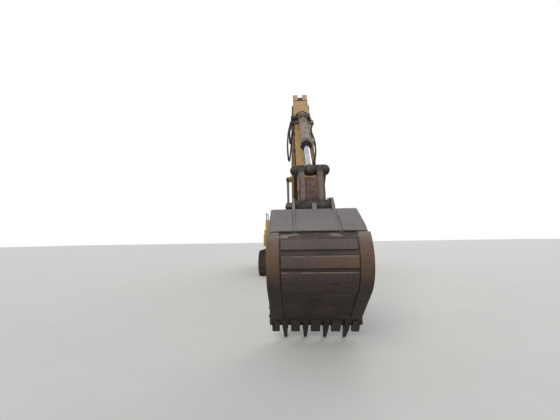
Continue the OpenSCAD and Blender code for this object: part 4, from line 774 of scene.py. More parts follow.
def addTravelHoses(s):
    hoses, blocks = [], []
    jx, jf, jz = s["junction"]
    half, out, high = s["junctionBox"]
    clampX, clampHalf, clampUp = s["clamp"]
    legX, legForward, legUp = s["legClamp"]
    for side in (-1, 1):
        blocks.append(boxPart(sorted((side * (jx - half), side * (jx + out))), (jf - half, jf + half), (jz, jz + high)))
        for i in range(s["count"]):
            low = (i - 1) * s["apart"]
            route = [(jx + 20, jf + low, jz + 34), (jx + 90, jf + low, jz + 34), (700, jf + low - 20, 912),
                     (960, jf + low - 60, 770), (1070, jf + low - 120, 692), (1098, -900 + low, 640 - abs(low) / 2),
                     (1098, -1250, 600 - low), (1092, -1560, 585 - low), (1070 + low / 3, -1720, 590 - low * 0.8),
                     (1045 + low, -1800, 596 - abs(low) * 0.3)]
            hoses += hosePart([place(side * x, f, z) for x, f, z in route], s["radius"])
        for f in s["clampsForward"]:
            blocks.append(boxPart(sorted(side * x for x in clampX), (f - clampHalf, f + clampHalf), clampUp))
        blocks.append(boxPart(sorted(side * x for x in legX), legForward, legUp))
    addPiece("travelHoses", hoses, "hoseRubber", "undercarriage", smooth=60)
    addPiece("travelHoseClamps", blocks, "lowerEnamel", "undercarriage", bevel=0.004)


addTravelHoses(travelHoses)
print("undercarriage dressed")


# A frame of rubber round an opening: a tube round a rectangle whose corners bend by a radius, laid in the plane of
# two directions from a corner point
def gasketPart(corner, along, up, length, height, bend, radius=10):
    path = []
    for cx, cy, start in ((length - bend, height - bend, 0), (bend, height - bend, 90), (bend, bend, 180),
                          (length - bend, bend, 270)):
        for turn in np.radians(np.linspace(start, start + 90, 7)):
            path.append(np.asarray(corner) + (np.asarray(along) * (cx + bend * math.cos(turn))
                                              + np.asarray(up) * (cy + bend * math.sin(turn))) / 1000)
    return tubePart(path + path[:2], radius, sides=8, steps=1)


# Anti-slip plates on the decks where a person walks: limits to the left, forward, and height of each; and the pitch
# of the domes, their profile and the sheet under them
gripDecks = [((-1440, -1230), (1225, 1465), 1630), ((-1100, -590), (1225, 1465), 1630),
             ((-1100, -590), (760, 1190), 1860), ((-1400, -600), (-180, 400), 2330),
             ((-1400, -1110), (-1120, -330), 2350), ((-900, -600), (-1120, -330), 2350),
             ((640, 1400), (-1110, -330), 2310)]
gripGrid = {"pitch": 46, "rowShare": 0.8, "sheet": 5, "dome": [(-1, 11), (3, 8.8), (5, 3.3)]}


# Rows of domes in a staggered grid on a thin sheet
def gripPlate(x, forward, up, s):
    top = up + s["sheet"]
    margin = s["dome"][0][1]
    parts = [boxPart(x, forward, (up, top))]
    row, f = 0, forward[0] + s["pitch"] / 2
    while f < forward[1] - margin:
        d = x[0] + s["pitch"] / 2 + (s["pitch"] / 2 if row % 2 else 0)
        while d < x[1] - margin:
            parts.append(turnedPart(place(d, f, top), (0, 0, 1), s["dome"], 6))
            d += s["pitch"]
        f += s["pitch"] * s["rowShare"]
        row += 1
    return parts


addPiece("gripPlates", [part for deck in gripDecks for part in gripPlate(*deck, gripGrid)], "zincPlate", "house")


# A latch's three layers: width and height as shares of its size, where it starts and ends outwards, and its rise
latchLayers = ((1, 1, -1, 5, 0), (0.6, 0.55, 5, 14, -12), (0.34, 0.2, 14, 20, 14))


def latchParts(spot, out, up, size=(62, 120)):
    side = np.cross(out, up)
    return [blockOn(spot + np.asarray(up) * rise / 1000, side, up, out, size[0] * wide, size[1] * tall, start, end)
            for wide, tall, start, end, rise in latchLayers]


# Caps, latches, grille, reflectors and bolts on the house; points are (left, forward, up)
houseTrim = {"side": 1490, "latchForward": -1352, "latchUp": (1620, 2060), "hoodLatch": (480, -2473, 2432),
             "handle": [(-110, -2430, 2519), (-110, -2430, 2550), (-90, -2430, 2556), (90, -2430, 2556),
                        (110, -2430, 2550), (110, -2430, 2519)],
             "fuelCap": (-1180, 480, 2390), "tankCap": (-1000, -700, 2395), "stack": (-900, -1880, 2410),
             "panelUp": (1480, 1760, 2040, 2290), "panelForward": (-2440, -1212), "skirtUp": 1240,
             "skirtForward": (-2380, 1380), "weightTop": 2290, "reflectorUp": 1480, "reflectorX": 1060,
             "grilleHalf": 258, "grilleForward": -3152, "grilleUp": (1530, 1930), "grilleBars": 9,
             "grilleStrips": (-170, 0, 170), "stripUp": (1505, 1955), "roofBoltsX": (-1400, -820, 820, 1400),
             "roofBoltsForward": (-2380, -1260), "roofTop": 2410, "weightBoltsX": (-300, 300),
             "weightBoltsForward": (-2640, -2980), "capBolts": (57, 6, 6, 6), "stackBolts": (81, 6, 8, 8),
             "stackClamp": [(-9, 62.5), (-9, 67), (9, 67), (9, 62.5)], "skirtBolts": 12, "reflectorRises": (0, 0.12),
             "reflector": [(-2, 44), (6, 44), (10, 38), (11, 12)]}


def addHouseTrim(s):
    left, right, up, back = (1, 0, 0), (-1, 0, 0), (0, 0, 1), (0, 1, 0)
    for name, way, body in (("leftDoorLatches", left, "left_side_door"),
                            ("rightDoorLatches", right, "right_side_door")):
        spots = [place(way[0] * s["side"], s["latchForward"], z) for z in s["latchUp"]]
        addPiece(name, [p for spot in spots for p in latchParts(spot, way, up)], "blackEnamel", body,
                 bevel=0.002)
    x, f, z = s["hoodLatch"]
    spots = [place(side * x, f, z) for side in (-1, 1)]
    addPiece("hoodLatches", [p for spot in spots for p in latchParts(spot, back, up, (70, 70))],
             "sealRubber", "engine_hood", bevel=0.002)
    addPiece("hoodHandle", [tubePart([place(*p) for p in s["handle"]], 9, steps=3)], "blackEnamel", "engine_hood",
             smooth=60)
    parts = []
    for spot, radius, ribs in ((place(*s["fuelCap"]), 46, 12), (place(*s["tankCap"]), 40, 10)):
        parts.append(turnedPart(spot, up, [(-2, radius), (14, radius), (20, radius - 5), (22, radius * 0.4)], 32))
        for a in np.linspace(0, 2 * math.pi, ribs, endpoint=False):
            parts.append(turnedPart(spot + place(radius * math.cos(a), radius * math.sin(a), 0), up,
                                    [(-1, 5), (15, 5), (18, 3)], 8))
    parts += boltCircle(place(*s["tankCap"]), up, *s["capBolts"])
    addPiece("fillerCaps", parts, "blackEnamel", "house", smooth=35)
    bolts = []
    for side in (-1, 1):
        way = (side, 0, 0)
        bolts += boltParts([place(side * s["side"], f, z) for f in s["panelForward"] for z in s["panelUp"]], way, 9, 7)
        bolts += boltParts([place(side * s["side"], f, s["skirtUp"])
                            for f in np.linspace(*s["skirtForward"], s["skirtBolts"])], way, 10, 8)
    bolts += boltParts([place(x, f, s["roofTop"]) for x in s["roofBoltsX"] for f in s["roofBoltsForward"]], up, 9, 7)
    bolts += boltParts([place(x, f, s["weightTop"]) for x in s["weightBoltsX"] for f in s["weightBoltsForward"]],
                       up, 24, 20)
    x, f, z = s["stack"]
    bolts += boltCircle(place(x, f, z + 22), up, *s["stackBolts"])
    addPiece("houseBolts", bolts, "pinSteel", "house")
    clamp = [turnedPart(place(x, f, z + 90), up, s["stackClamp"], 32, True),
             boxPart((x - 10, x + 10), (f - 80, f - 60), (z + 80, z + 100))]
    addPiece("exhaustClamp", clamp, "exhaustSteel", "house")
    half, f = s["grilleHalf"], s["grilleForward"]
    grille = [tubePart([place(x, f, z) for x in (-half, 0, half)], 9, sides=8, steps=1)
              for z in np.linspace(*s["grilleUp"], s["grilleBars"])]
    for x in s["grilleStrips"]:
        grille.append(boxPart((x - 7, x + 7), (f + 7, f + 13), s["stripUp"]))
    addPiece("weightGrille", grille, "blackEnamel", "house", smooth=50)
    reflectors = []
    for side in (-1, 1):
        spot, normal = landOn("counterweight", place(side * s["reflectorX"], -3500, s["reflectorUp"]), (0, -1, 0))
        for rise in s["reflectorRises"]:
            reflectors.append(turnedPart(spot + np.array([0, 0, rise]), normal, s["reflector"], 24))
    addPiece("tailReflectors", reflectors, "reflectorPlastic", "house", smooth=30)


addHouseTrim(houseTrim)

# Valve block with its ports and plugs, swing motor and pipes on the open deck behind the boom
deckGear = {"top": 1400, "x": (-190, 190), "forward": (-900, -480), "high": 1610, "sections": 6, "pitch": 66,
            "port": [(-3, 27), (34, 27), (40, 22), (40, 0.1)], "plug": [(-2, 20), (18, 20), (26, 14), (26, 0.1)],
            "motor": (0, 215), "motorProfile": [(-2, 165), (24, 165), (24, 132), (120, 128), (132, 108), (190, 104),
                                                (204, 80), (204, 0.1)],
            "motorFlange": 24, "motorBolts": (149, 12, 11, 12), "feet": (-130, 130), "hosesForward": (-860, -520, 4),
            "hoseRadii": (14, 13)}


def addDeckGear(s):
    top, high = s["top"], s["high"]
    x, forward = s["x"], s["forward"]
    parts = [boxPart(x, forward, (top + 30, high)),
             boxPart((x[0] + 40, x[1] - 40), (forward[0] - 60, forward[1] + 50), (top + 70, high - 50))]
    for i in range(s["sections"]):
        f = forward[0] + 45 + i * s["pitch"]
        for side in (-1, 1):
            parts.append(turnedPart(place(side * x[1], f, top + 120), (side, 0, 0), s["port"], 16))
        parts.append(turnedPart(place(-60, f, high), (0, 0, 1), s["plug"], 6))
    for foot in s["feet"]:
        parts.append(boxPart((foot - 30, foot + 30), (forward[0] + 30, forward[1] - 30), (top, top + 32)))
    parts.append(turnedPart(place(*s["motor"], top), (0, 0, 1), s["motorProfile"], 32))
    parts += boltCircle(place(*s["motor"], top + s["motorFlange"]), (0, 0, 1), *s["motorBolts"])
    addPiece("deckGear", parts, "castIron", "house", smooth=35, bevel=0.003)
    hoses = []
    rightRadius, leftRadius = s["hoseRadii"]
    for i, f in enumerate(np.linspace(*s["hosesForward"])):
        hoses += hosePart([place(x[0] - 38, f, top + 120), place(x[0] - 100, f, top + 122), place(-330, f - 20, 1490),
                           place(-400, f - 60, 1462 + 6 * i), place(-470, f - 70, 1470), place(-531, f - 70, 1475)],
                          rightRadius)
        hoses += hosePart([place(x[1] + 38, f, top + 120), place(x[1] + 110, f + 6, top + 120),
                           place(330, f + 40, 1470), place(330 - 14 * i, -250 + 40 * i, 1440),
                           place(240 - 30 * i, 20 + 24 * i, 1450), place(130, 130 + 44 * i, 1480)], leftRadius)
    addPiece("deckHoses", hoses, "hoseRubber", "house", smooth=60)


addDeckGear(deckGear)

# Cooler fins: thin upright plates over both faces of the core, held by flat rails across
coolerFins = {"forward": (-2310, -1310), "faces": (1004, 1196), "up": (1460, 2240), "step": 22, "thick": 4,
              "sunk": 7, "deep": 6, "rails": 12, "railDeep": 9, "railHalf": 3}


def addCoolerFins(s):
    parts = []
    for face, way in zip(s["faces"], (-1, 1)):
        for f in np.arange(*s["forward"], s["step"]):
            parts.append(boxPart(sorted((face - way * s["sunk"], face + way * s["deep"])), (f, f + s["thick"]),
                                 s["up"]))
        for z in np.linspace(*s["up"], s["rails"]):
            parts.append(boxPart(sorted((face - way * s["sunk"], face + way * s["railDeep"])), s["forward"],
                                 (z - s["railHalf"], z + s["railHalf"])))
    addPiece("coolerFins", parts, "finAluminium", "house")


addCoolerFins(coolerFins)
print("house dressed")

# Cab outside. A window is its corner, the way its lower edge runs, its length, height and corners' radius;
# points on the screen are (left of the cab's middle, up, proud of the glass), other points (left, forward, up)
cabOutside = {"middle": 1015, "screenHalf": 395, "screenFoot": 1720, "screenRake": 190, "sill": 1960,
              "screenTop": 2940, "screenUp": (1990, 2850),
              "windows": [((620, 1704, 1520), (1, 0, 0), 790, 380, 24), ((650, -214, 2000), (1, 0, 0), 730, 840, 24),
                          ((548, 1390, 1960), (0, 1, 0), 1490, 920, 66),
                          ((1482, 250, 1960), (0, 1, 0), 370, 920, 66)],
              "doorWindow": ((1482, 1360, 1940), (0, 1, 0), 950, 890, 66),
              "wiperArm": [(60, 2905, 14), (30, 2700, 20), (-60, 2420, 12)], "wiperPivot": (60, 2905, -8),
              "wiperBlade": [(-40, 2690, 0), (-60, 2420, 2), (-84, 2130, 0)],
              "hatch": [(320, 3074), (1100, 3074), (1120, 3049), (300, 3049)], "hatchX": (720, 1310),
              "hatchHinges": (740, 1290), "visor": [(1400, 3056), (1604, 2993), (1600, 2985), (1395, 3046)],
              "visorX": (560, 1470),
              "mirrorArms": [[(1440, 1700, 2250), (1440, 1760, 2260), (1500, 1800, 2270), (1536, 1806, 2290)],
                             [(-1160, 1168, 2500), (-1152, 1225, 2506), (-1128, 1264, 2500), (-1120, 1280, 2470)]],
              "mirrorBacks": [((1470, 1590), (1800, 1830), (2200, 2470)),
                              ((-1195, -1045), (1268, 1298), (2330, 2580))],
              "mirrorFoot": ((1425, 1455), (1690, 1722), (2220, 2280)), "mirrorRim": (8, 10),
              "latch": [((1486, 1500), (1345, 1420), (1690, 1740)), ((1498, 1512), (1360, 1405), (1700, 1730))]}


# A point on the sloping screen, whose foot lies at the sill and which leans back by its rake up to its top
def onScreen(s, x, up, proud):
    forward = s["screenFoot"] - s["screenRake"] * (up - s["sill"]) / (s["screenTop"] - s["sill"])
    return place(s["middle"] + x, forward + proud, up)


def addCabOutside(s):
    low, high = (onScreen(s, -s["screenHalf"], up, -20) for up in s["screenUp"])
    rise = (high - low) * 1000
    rubber = [gasketPart(low, (1, 0, 0), rise / np.linalg.norm(rise), 2 * s["screenHalf"], np.linalg.norm(rise), 24)]
    for corner, along, length, height, bend in s["windows"]:
        rubber.append(gasketPart(place(*corner), along, (0, 0, 1), length, height, bend))
    addPiece("windowRubber", rubber, "sealRubber", "house", smooth=60)
    corner, along, length, height, bend = s["doorWindow"]
    addPiece("doorWindowRubber", [gasketPart(place(*corner), along, (0, 0, 1), length, height, bend)],
             "sealRubber", "cab_door", smooth=60)
    wiper = [tubePart([onScreen(s, *p) for p in s["wiperArm"]], 7, steps=4),
             turnedPart(onScreen(s, *s["wiperPivot"]), (0, -1, 0.2), [(0, 26), (24, 24), (30, 14)], 16),
             tubePart([onScreen(s, *p) for p in s["wiperBlade"]], 6, sides=6, steps=3)]
    addPiece("wiper", wiper, "blackEnamel", "house", smooth=50)
    roof = [platePart(s["hatch"], s["hatchX"])]
    roof += [boxPart((x - 5, x + 5), (560, 640), (3073, 3090)) for x in s["hatchHinges"]]
    roof.append(platePart(s["visor"], s["visorX"]))
    addPiece("roofHatch", roof, "houseEnamel", "house", bevel=0.004)
    mirrors, glass = [], []
    rim, deep = s["mirrorRim"]
    for arm, (x, forward, up) in zip(s["mirrorArms"], s["mirrorBacks"]):
        mirrors += [tubePart([place(*p) for p in arm], 9, steps=4), boxPart(x, forward, up)]
        glass.append(boxPart((x[0] + rim, x[1] - rim), (forward[0] - 3, forward[0] + 1), (up[0] + deep, up[1] - deep)))
    mirrors.append(boxPart(*s["mirrorFoot"]))
    addPiece("mirrors", mirrors, "trimPlastic", "house", bevel=0.008)
    addPiece("mirrorGlass", glass, "mirrorSilver", "house", bevel=0.002)
    addPiece("cabDoorLatch", [boxPart(*b) for b in s["latch"]], "blackEnamel", "cab_door", bevel=0.003)


addCabOutside(cabOutside)

# How every cushion is divided and how its seams lie: depth and width as shares of its half sizes, and the squeeze
# at its corners
cushionShape = {"around": 64, "rows": 32, "seamDeep": 0.055, "seamWide": 0.045, "seamShare": 6, "pinch": 0.05}


# A cushion: an ellipsoid pushed towards its box by a power, with lengthwise grooves at its seams on top; middle
# and half sizes are in millimetres to the left, forward and up, tilt in degrees
def cushionPiece(name, middle, half, power, seams, body, tilt=0.0):
    s = cushionShape
    lon, lat = np.meshgrid(np.linspace(-math.pi, math.pi, s["around"] + 1)[:-1],
                           np.linspace(-math.pi / 2, math.pi / 2, s["rows"] + 1))

    def curve(value):
        return np.sign(value) * np.abs(value) ** power

    x = curve(np.cos(lat)) * curve(np.cos(lon))
    y = curve(np.cos(lat)) * curve(np.sin(lon))
    z = curve(np.sin(lat))
    dip = sum(s["seamDeep"] * np.exp(-((x - g) / s["seamWide"]) ** 2) for g in seams)
    pinch = 1 - s["pinch"] * (np.abs(x) * np.abs(y)) ** 0.5 * (1 - np.abs(z))
    points = np.stack([x * half[0] * pinch, y * half[1] * pinch,
                       z * half[2] - np.maximum(z, 0) * dip * half[2] * s["seamShare"]], axis=-1).reshape(-1, 3)
    turn = np.array(Matrix.Rotation(math.radians(tilt), 3, "X"))
    points = (points @ turn.T + np.array([middle[0], -middle[1], middle[2]])) / 1000
    count = s["around"]
    faces = [(r * count + c, r * count + (c + 1) % count, (r + 1) * count + (c + 1) % count, (r + 1) * count + c)
             for r in range(s["rows"]) for c in range(count)]
    piece = addPiece(name, [(points, faces)], "seatCloth", body, smooth=80)
    return piece


cushions = [cushionPiece("seatPad", (1015, 430, 1872), (232, 200, 57), 0.42, (-0.55, 0.55), "house"),
            cushionPiece("backPad", (1015, 156, 2212), (218, 276, 52), 0.45, (-0.5, 0.5), "house", -90),
            cushionPiece("headPad", (1015, 141, 2580), (118, 72, 38), 0.5, (), "house", -90)]
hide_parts("seat_cushions")
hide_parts("seat_cushions")
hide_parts("seat_cushions")

# What a driver touches: ribbed mat, armrests, grips with their boots, pedals, display and knobs
cabInside = {"middle": 1015, "floor": 1485, "console": 2005, "matHalf": 400, "matForward": (700, 1600), "ribs": 25,
             "ribsHalf": 360, "ribHalf": 5, "ribForward": (760, 1160), "armrest": 305, "armrestHalf": 42,
             "armrestForward": (150, 430), "armrestHigh": 52, "leverForward": 620, "lever": 300, "gripRise": 96,
             "bootBehind": 20, "pedalForward": (1200, 1410), "pedalUp": (39, 46),
             "grip": [(-44, 17), (-30, 24), (10, 26), (44, 22), (62, 27), (74, 18)],
             "boot": [(-1, 46), (14, 38), (26, 24), (30, 18)], "pedal": 90, "pedalHalf": 52,
             "display": ((-377, -213), (1366, 1371), (2057, 2173)), "knobs": (-325, 470), "knobStep": (34, 44),
             "knob": [(-1, 12), (10, 11), (12, 6)]}


def addCabInside(s):
    middle, floor, console = s["middle"], s["floor"], s["console"]
    soft = [boxPart((middle - s["matHalf"], middle + s["matHalf"]), s["matForward"], (floor - 1, floor + 6))]
    for x in np.linspace(middle - s["ribsHalf"], middle + s["ribsHalf"], s["ribs"]):
        soft.append(boxPart((x - s["ribHalf"], x + s["ribHalf"]), s["ribForward"], (floor + 5, floor + 9)))
    for side in (-1, 1):
        x, half = middle + side * s["armrest"], s["armrestHalf"]
        soft.append(boxPart((x - half, x + half), s["armrestForward"], (console - 1, console + s["armrestHigh"])))
        soft.append(turnedPart(place(middle + side * s["lever"], s["leverForward"], console + s["gripRise"]),
                               (0, -0.1, 1), s["grip"], 16))
        soft.append(turnedPart(place(x, s["leverForward"] - s["bootBehind"], console), (0, 0, 1), s["boot"], 16))
        x, half = middle + side * s["pedal"], s["pedalHalf"]
        soft.append(boxPart((x - half, x + half), s["pedalForward"], [floor + rise for rise in s["pedalUp"]]))
    addPiece("cabRubber", soft, "sealRubber", "house", smooth=40, bevel=0.004)
    x, forward, up = s["display"]
    addPiece("displayGlass", [boxPart((middle + x[0], middle + x[1]), forward, up)], "screenGlass", "house")
    knobX, knobForward = s["knobs"]
    across, ahead = s["knobStep"]
    knobs = [turnedPart(place(middle + knobX + across * (i % 2), knobForward + ahead * (i // 2), console), (0, 0, 1),
                        s["knob"], 12) for i in range(4)]
    addPiece("consoleKnobs", knobs, "zincPlate", "house", smooth=40)


addCabInside(cabInside)

# Lamps: lenses, bowls, rims with guard bars, and the bolts of their brackets; feet are (left, forward, up)
lampTrim = {"feet": [(690, 1320, 3050), (1340, 1320, 3050), (-1290, 1440, 1630)], "axis": (55, 85),
            "lens": [(-1, 56), (4, 56), (9, 40), (11, 10)], "bowl": [(-1.5, 55), (0.5, 55), (0.5, 0.1)],
            "rim": [(-8, 64.5), (-8, 67), (8, 67), (8, 57), (0, 57)], "barsX": (-26, 0, 26),
            "bar": [(2, -58), (18, -40), (18, 40), (2, 58)]}


def addLampTrim(s):
    glass, metal, bowls = [], [], []
    ahead = (0, -1, 0)
    for x, f, z in s["feet"]:
        centre = place(x, f + s["axis"][0], z + s["axis"][1])
        glass.append(turnedPart(centre, ahead, s["lens"], 32))
        bowls.append(turnedPart(centre, ahead, s["bowl"], 32))
        metal.append(turnedPart(centre, ahead, s["rim"], 32, True))
        for dx in s["barsX"]:
            metal.append(tubePart([centre + place(dx, out, rise) for out, rise in s["bar"]], 3, sides=6, steps=3))
        metal += boltParts([place(x - 50, f, z + 15), place(x + 50, f, z + 15)], [(-1, 0, 0), (1, 0, 0)], 9, 7)
    addPiece("lampLenses", glass, "lampGlass", "house", smooth=40)
    addPiece("lampBowls", bowls, "mirrorSilver", "house", smooth=40)
    addPiece("lampGuards", metal, "blackEnamel", "house", smooth=40)


addLampTrim(lampTrim)
print("cab dressed")

# Pin ends: each body's pins as (forward, up) and how far they reach to the right and left, and on every end a cap
# with three bolts and a grease nipple
pinEnds = [("house", (580, 1370), (511, 511)), ("boom", (100, 2100), (341, 341)), ("boom", (5831, 4331.3), (264, 264)),
           ("boom", (2502, 4612.7), (111, 111)), ("stick", (5545, 5142.3), (111, 111)),
           ("stick", (7516, 2095.1), (261, 261)), ("idler_links", (7956.8, 2455.7), (292, 292)),
           ("bucket", (7756.8, 1775.7), (305, 305)), ("bucket", (8186.8, 1851.7), (370.5, 305)),
           ("boom_cylinder_rods", (2176, 3852), (455, 455))]
pinCap = {"cap": [(-1, 41), (6, 41), (9, 37), (9, 0.1)], "nipple": [(8, 9), (13, 9), (13, 6), (20, 4), (22, 2)],
          "face": 9, "bolts": (24, 3, 6, 5, 0.4)}


def addPinCaps(ends, s):
    byBody = {}
    for body, (forward, up), (right, left) in ends:
        parts = byBody.setdefault(body, [])
        for x in (-right, left):
            way = (1 if x > 0 else -1, 0, 0)
            spot = place(x, forward, up)
            parts += [turnedPart(spot, way, s["cap"], 28), turnedPart(spot, way, s["nipple"], 10)]
            parts += boltCircle(spot + place(s["face"] * way[0], 0, 0), way, *s["bolts"])
    for body, parts in byBody.items():
        addPiece("pinCaps_" + body, parts, "pinSteel", body, smooth=35)


addPinCaps(pinEnds, pinCap)

# Boom: two steel lines a side along its top, with clamps; hoses from the house and on to the stick. nose is the way
# over the boom's nose as (left, along, out), and noseFoot the way down to the stick's lines as (left, along). rear is
# the way up from the house as (spread, forward, up), on the lefts that rearBase starts and steps
boomLines = {"x": (-190, -150, 150, 190), "from": 820, "to": 5200, "step": 146, "height": 24, "radius": 11,
             "clampX": 170, "clampEvery": 620, "clamp": (92, 44, -4, 41), "hose": 15,
             "nose": [(206, 5480, 580), (208, 5800, 650), (208, 6060, 650), (206, 6230, 560)],
             "noseFoot": [(202, -370), (194, -290), (193, -240)], "inner": (0, 270), "outer": (30, 305),
             "rearBase": (-60, 40), "rear": [(1, -700, 1625), (1, -690, 1760), (1.3, -600, 2050), (1.8, -420, 2350)],
             "rearTop": (0.95, -170, 2610)}


# A line along the boom that lies a height above its plates
def boomPath(x, alongs, height):
    return [landOnBoom(x, along)[0] + armDirection("boom", 0, height) / 1000 for along in alongs]


def addBoomLines(s):
    alongs = np.arange(s["from"], s["to"] + 1, s["step"])
    paths = {x: boomPath(x, alongs, s["height"]) for x in s["x"]}
    pipes = [tubePart(path, s["radius"], sides=10, steps=2) for path in paths.values()]
    clamps, bolts = [], []
    across = (1, 0, 0)
    for side in (-1, 1):
        for along in np.arange(s["from"] + 200, s["to"], s["clampEvery"]):
            spot, normal = landOnBoom(side * s["clampX"], along)
            clamps.append(blockOn(spot, across, np.cross(across, normal), normal, *s["clamp"]))
            bolts += boltParts([spot + normal * s["clamp"][-1] / 1000], normal, 8, 8)
    addPiece("boomPipes", pipes, "armEnamel", "boom", smooth=60)
    addPiece("boomPipeClamps", clamps, "armEnamel", "boom", bevel=0.003)
    addPiece("boomPipeBolts", bolts, "pinSteel", "boom")
    rear, front = [], []
    for i, x in enumerate(s["x"]):
        side = 1 if x > 0 else -1
        start, after, end = paths[x][0], paths[x][1], paths[x][-1]
        back = (start - after) / np.linalg.norm(start - after)
        base = s["rearBase"][0] + s["rearBase"][1] * i
        share, forward, up = s["rearTop"]
        rear += hosePart([place(base * spread, f, z) for spread, f, z in s["rear"]] + [
            place(x * share, forward, up), start + back * 0.20 + np.array([0, 0, 0.06]), start + back * 0.07, start],
            s["hose"])
        lift, out = s["inner"] if abs(x) < s["clampX"] else s["outer"]
        front += hosePart([end, end + armDirection("boom", 90, 0) / 1000]
                          + armPoints("boom", [(side * a, along, o + lift) for a, along, o in s["nose"]])
                          + armPoints("stick", [(side * a, along, out) for a, along in s["noseFoot"]]), s["hose"])
    blendHoses("boomFootHoses", rear)
    blendHoses("boomNoseHoses", front)


addBoomLines(boomLines)

# Short hoses to the cylinders that the boom carries or that lift it: (left, along, out) on boom and cylinder, and
# (left, forward, up) at the house. Each lifting cylinder has a second hose, moved from the first by the shift times
# what the row of shares says for each point
cylinderHoses = {"radius": 13, "fromBoom": [(150, 3180, 1275), (162, 3290, 1300), (168, 3420, 1345)],
                 "toStickCylinder": [(135, 360, 20), (92, 380, 20)], "shifts": (0, 26),
                 "fromHouse": [(262, 300, 1401), (262, 330, 1480), (264, 450, 1590), (276, 590, 1650)],
                 "fromHouseShares": [(2, 0), (2, 0), (1, 0), (1, -0.5)],
                 "toBoomCylinder": [(300, 290, 18), (314, 300, 10)], "toBoomCylinderShare": 2}


def addCylinderHoses(s):
    parts = []
    for side in (-1, 1):
        parts += hosePart(armPoints("boom", [(side * x, a, o) for x, a, o in s["fromBoom"]])
                          + armPoints("stickCylinder", [(side * x, a, o) for x, a, o in s["toStickCylinder"]]),
                          s["radius"])
    blendHoses("stickCylinderHoses", parts)
    parts = []
    for side in (-1, 1):
        for shift in s["shifts"]:
            route = [place(side * x, f + ahead * shift, z + rise * shift)
                     for (x, f, z), (ahead, rise) in zip(s["fromHouse"], s["fromHouseShares"])]
            route += armPoints("boomCylinder", [(side * x, a + s["toBoomCylinderShare"] * shift, o)
                                                for x, a, o in s["toBoomCylinder"]])
            parts += hosePart(route, s["radius"])
    blendHoses("boomCylinderHoses", parts)


addCylinderHoses(cylinderHoses)

# Stick: steel lines on both sides with their blocks, spare lines on the left, black ends on the bucket cylinder's
# foot pin, and a coupling in the right hose. Blocks are limits to the left, along and out; points (left, along, out)
stickLines = {"web": 171, "radius": 10, "outs": (270, 305), "alongs": (-240, -100, 200, 330, 470), "pipeOff": 20,
              "clampAlongs": (-150, 110, 330), "clampHalf": 20, "clampOff": (-2, 36), "clampOut": (250, 325),
              "boltOut": 288, "endOff": (-2, 44), "endBlock": ((440, 560), (240, 322)),
              "sideBlocks": [((-216, -169), (345, 430), (95, 228)), ((125, 175), (2030, 2120), (140, 190)),
                             ((135, 185), (1090, 1130), (292, 340))],
              "spareX": -204, "spareRadius": 17, "spareOuts": (262, 222),
              "spareRun": [(540, 0), (800, -22), (1500, -105), (2130, -180)],
              "spareClamps": ((900, 204), (1500, 137), (2090, 62)), "spareClamp": ((-27, 35), (-22, 22), (-32, 42)),
              "foot": (111, 6535.5, 4110.9), "cap": 54,
              "capEnds": {-1: 151, 1: 36}, "coupling": ((201, 1440, 309), (206, 1560, 293)), "couplingRadius": 27}


def addStickLines(s):
    web = s["web"]
    pipes, blocks, bolts = [], [], []
    for side in (-1, 1):
        for out in s["outs"]:
            pipes.append(tubePart([armPoint("stick", side * (web + s["pipeOff"]), a, out) for a in s["alongs"]],
                                  s["radius"], steps=3))
        for along in s["clampAlongs"]:
            blocks.append(armBox("stick", sorted(side * (web + off) for off in s["clampOff"]),
                                 (along - s["clampHalf"], along + s["clampHalf"]), s["clampOut"]))
        blocks.append(armBox("stick", sorted(side * (web + off) for off in s["endOff"]), *s["endBlock"]))
        bolts += boltParts([armPoint("stick", side * (web + s["clampOff"][1]), a, s["boltOut"])
                            for a in s["clampAlongs"]], (side, 0, 0), 9, 8)
    blocks += [armBox("stick", *block) for block in s["sideBlocks"]]
    addPiece("stickPipes", pipes, "armEnamel", "stick", smooth=60)
    spare = [tubePart([armPoint("stick", s["spareX"], a, out + drop) for a, drop in s["spareRun"]], s["spareRadius"],
                      steps=3) for out in s["spareOuts"]]
    for middle in s["spareClamps"]:
        spare.append(armBox("stick", *[[at + limit for limit in limits]
                                       for at, limits in zip((s["spareX"], *middle), s["spareClamp"])]))
    addPiece("stickSpareLines", spare, "blackEnamel", "stick", smooth=60)
    addPiece("stickClamps", blocks, "blackEnamel", "stick", bevel=0.003)
    addPiece("stickBolts", bolts, "pinSteel", "stick")
    x, forward, up = s["foot"]
    r = s["cap"]
    caps = [turnedPart(place(side * x, forward, up), (side, 0, 0),
                       [(-10, r), (end - 12, r), (end - 2, r - 8), (end, r - 20), (end, 0.1)], 28)
            for side, end in s["capEnds"].items()]
    addPiece("footPinCaps", caps, "sealRubber", "stick", smooth=35)
    start, end = armPoints("stick", s["coupling"])
    length, r = float(np.linalg.norm(end - start)) * 1000, s["couplingRadius"]
    profile = [(0, 0.1), (0, r - 6), (6, r), (length * 0.4, r), (length * 0.42, r - 7), (length * 0.58, r - 7),
               (length * 0.6, r), (length - 6, r), (length, r - 6), (length, 0.1)]
    addPiece("hoseCoupling", [turnedPart(start, end - start, profile, 6)], "castIron", "stick",
             smooth=25)


addStickLines(stickLines)

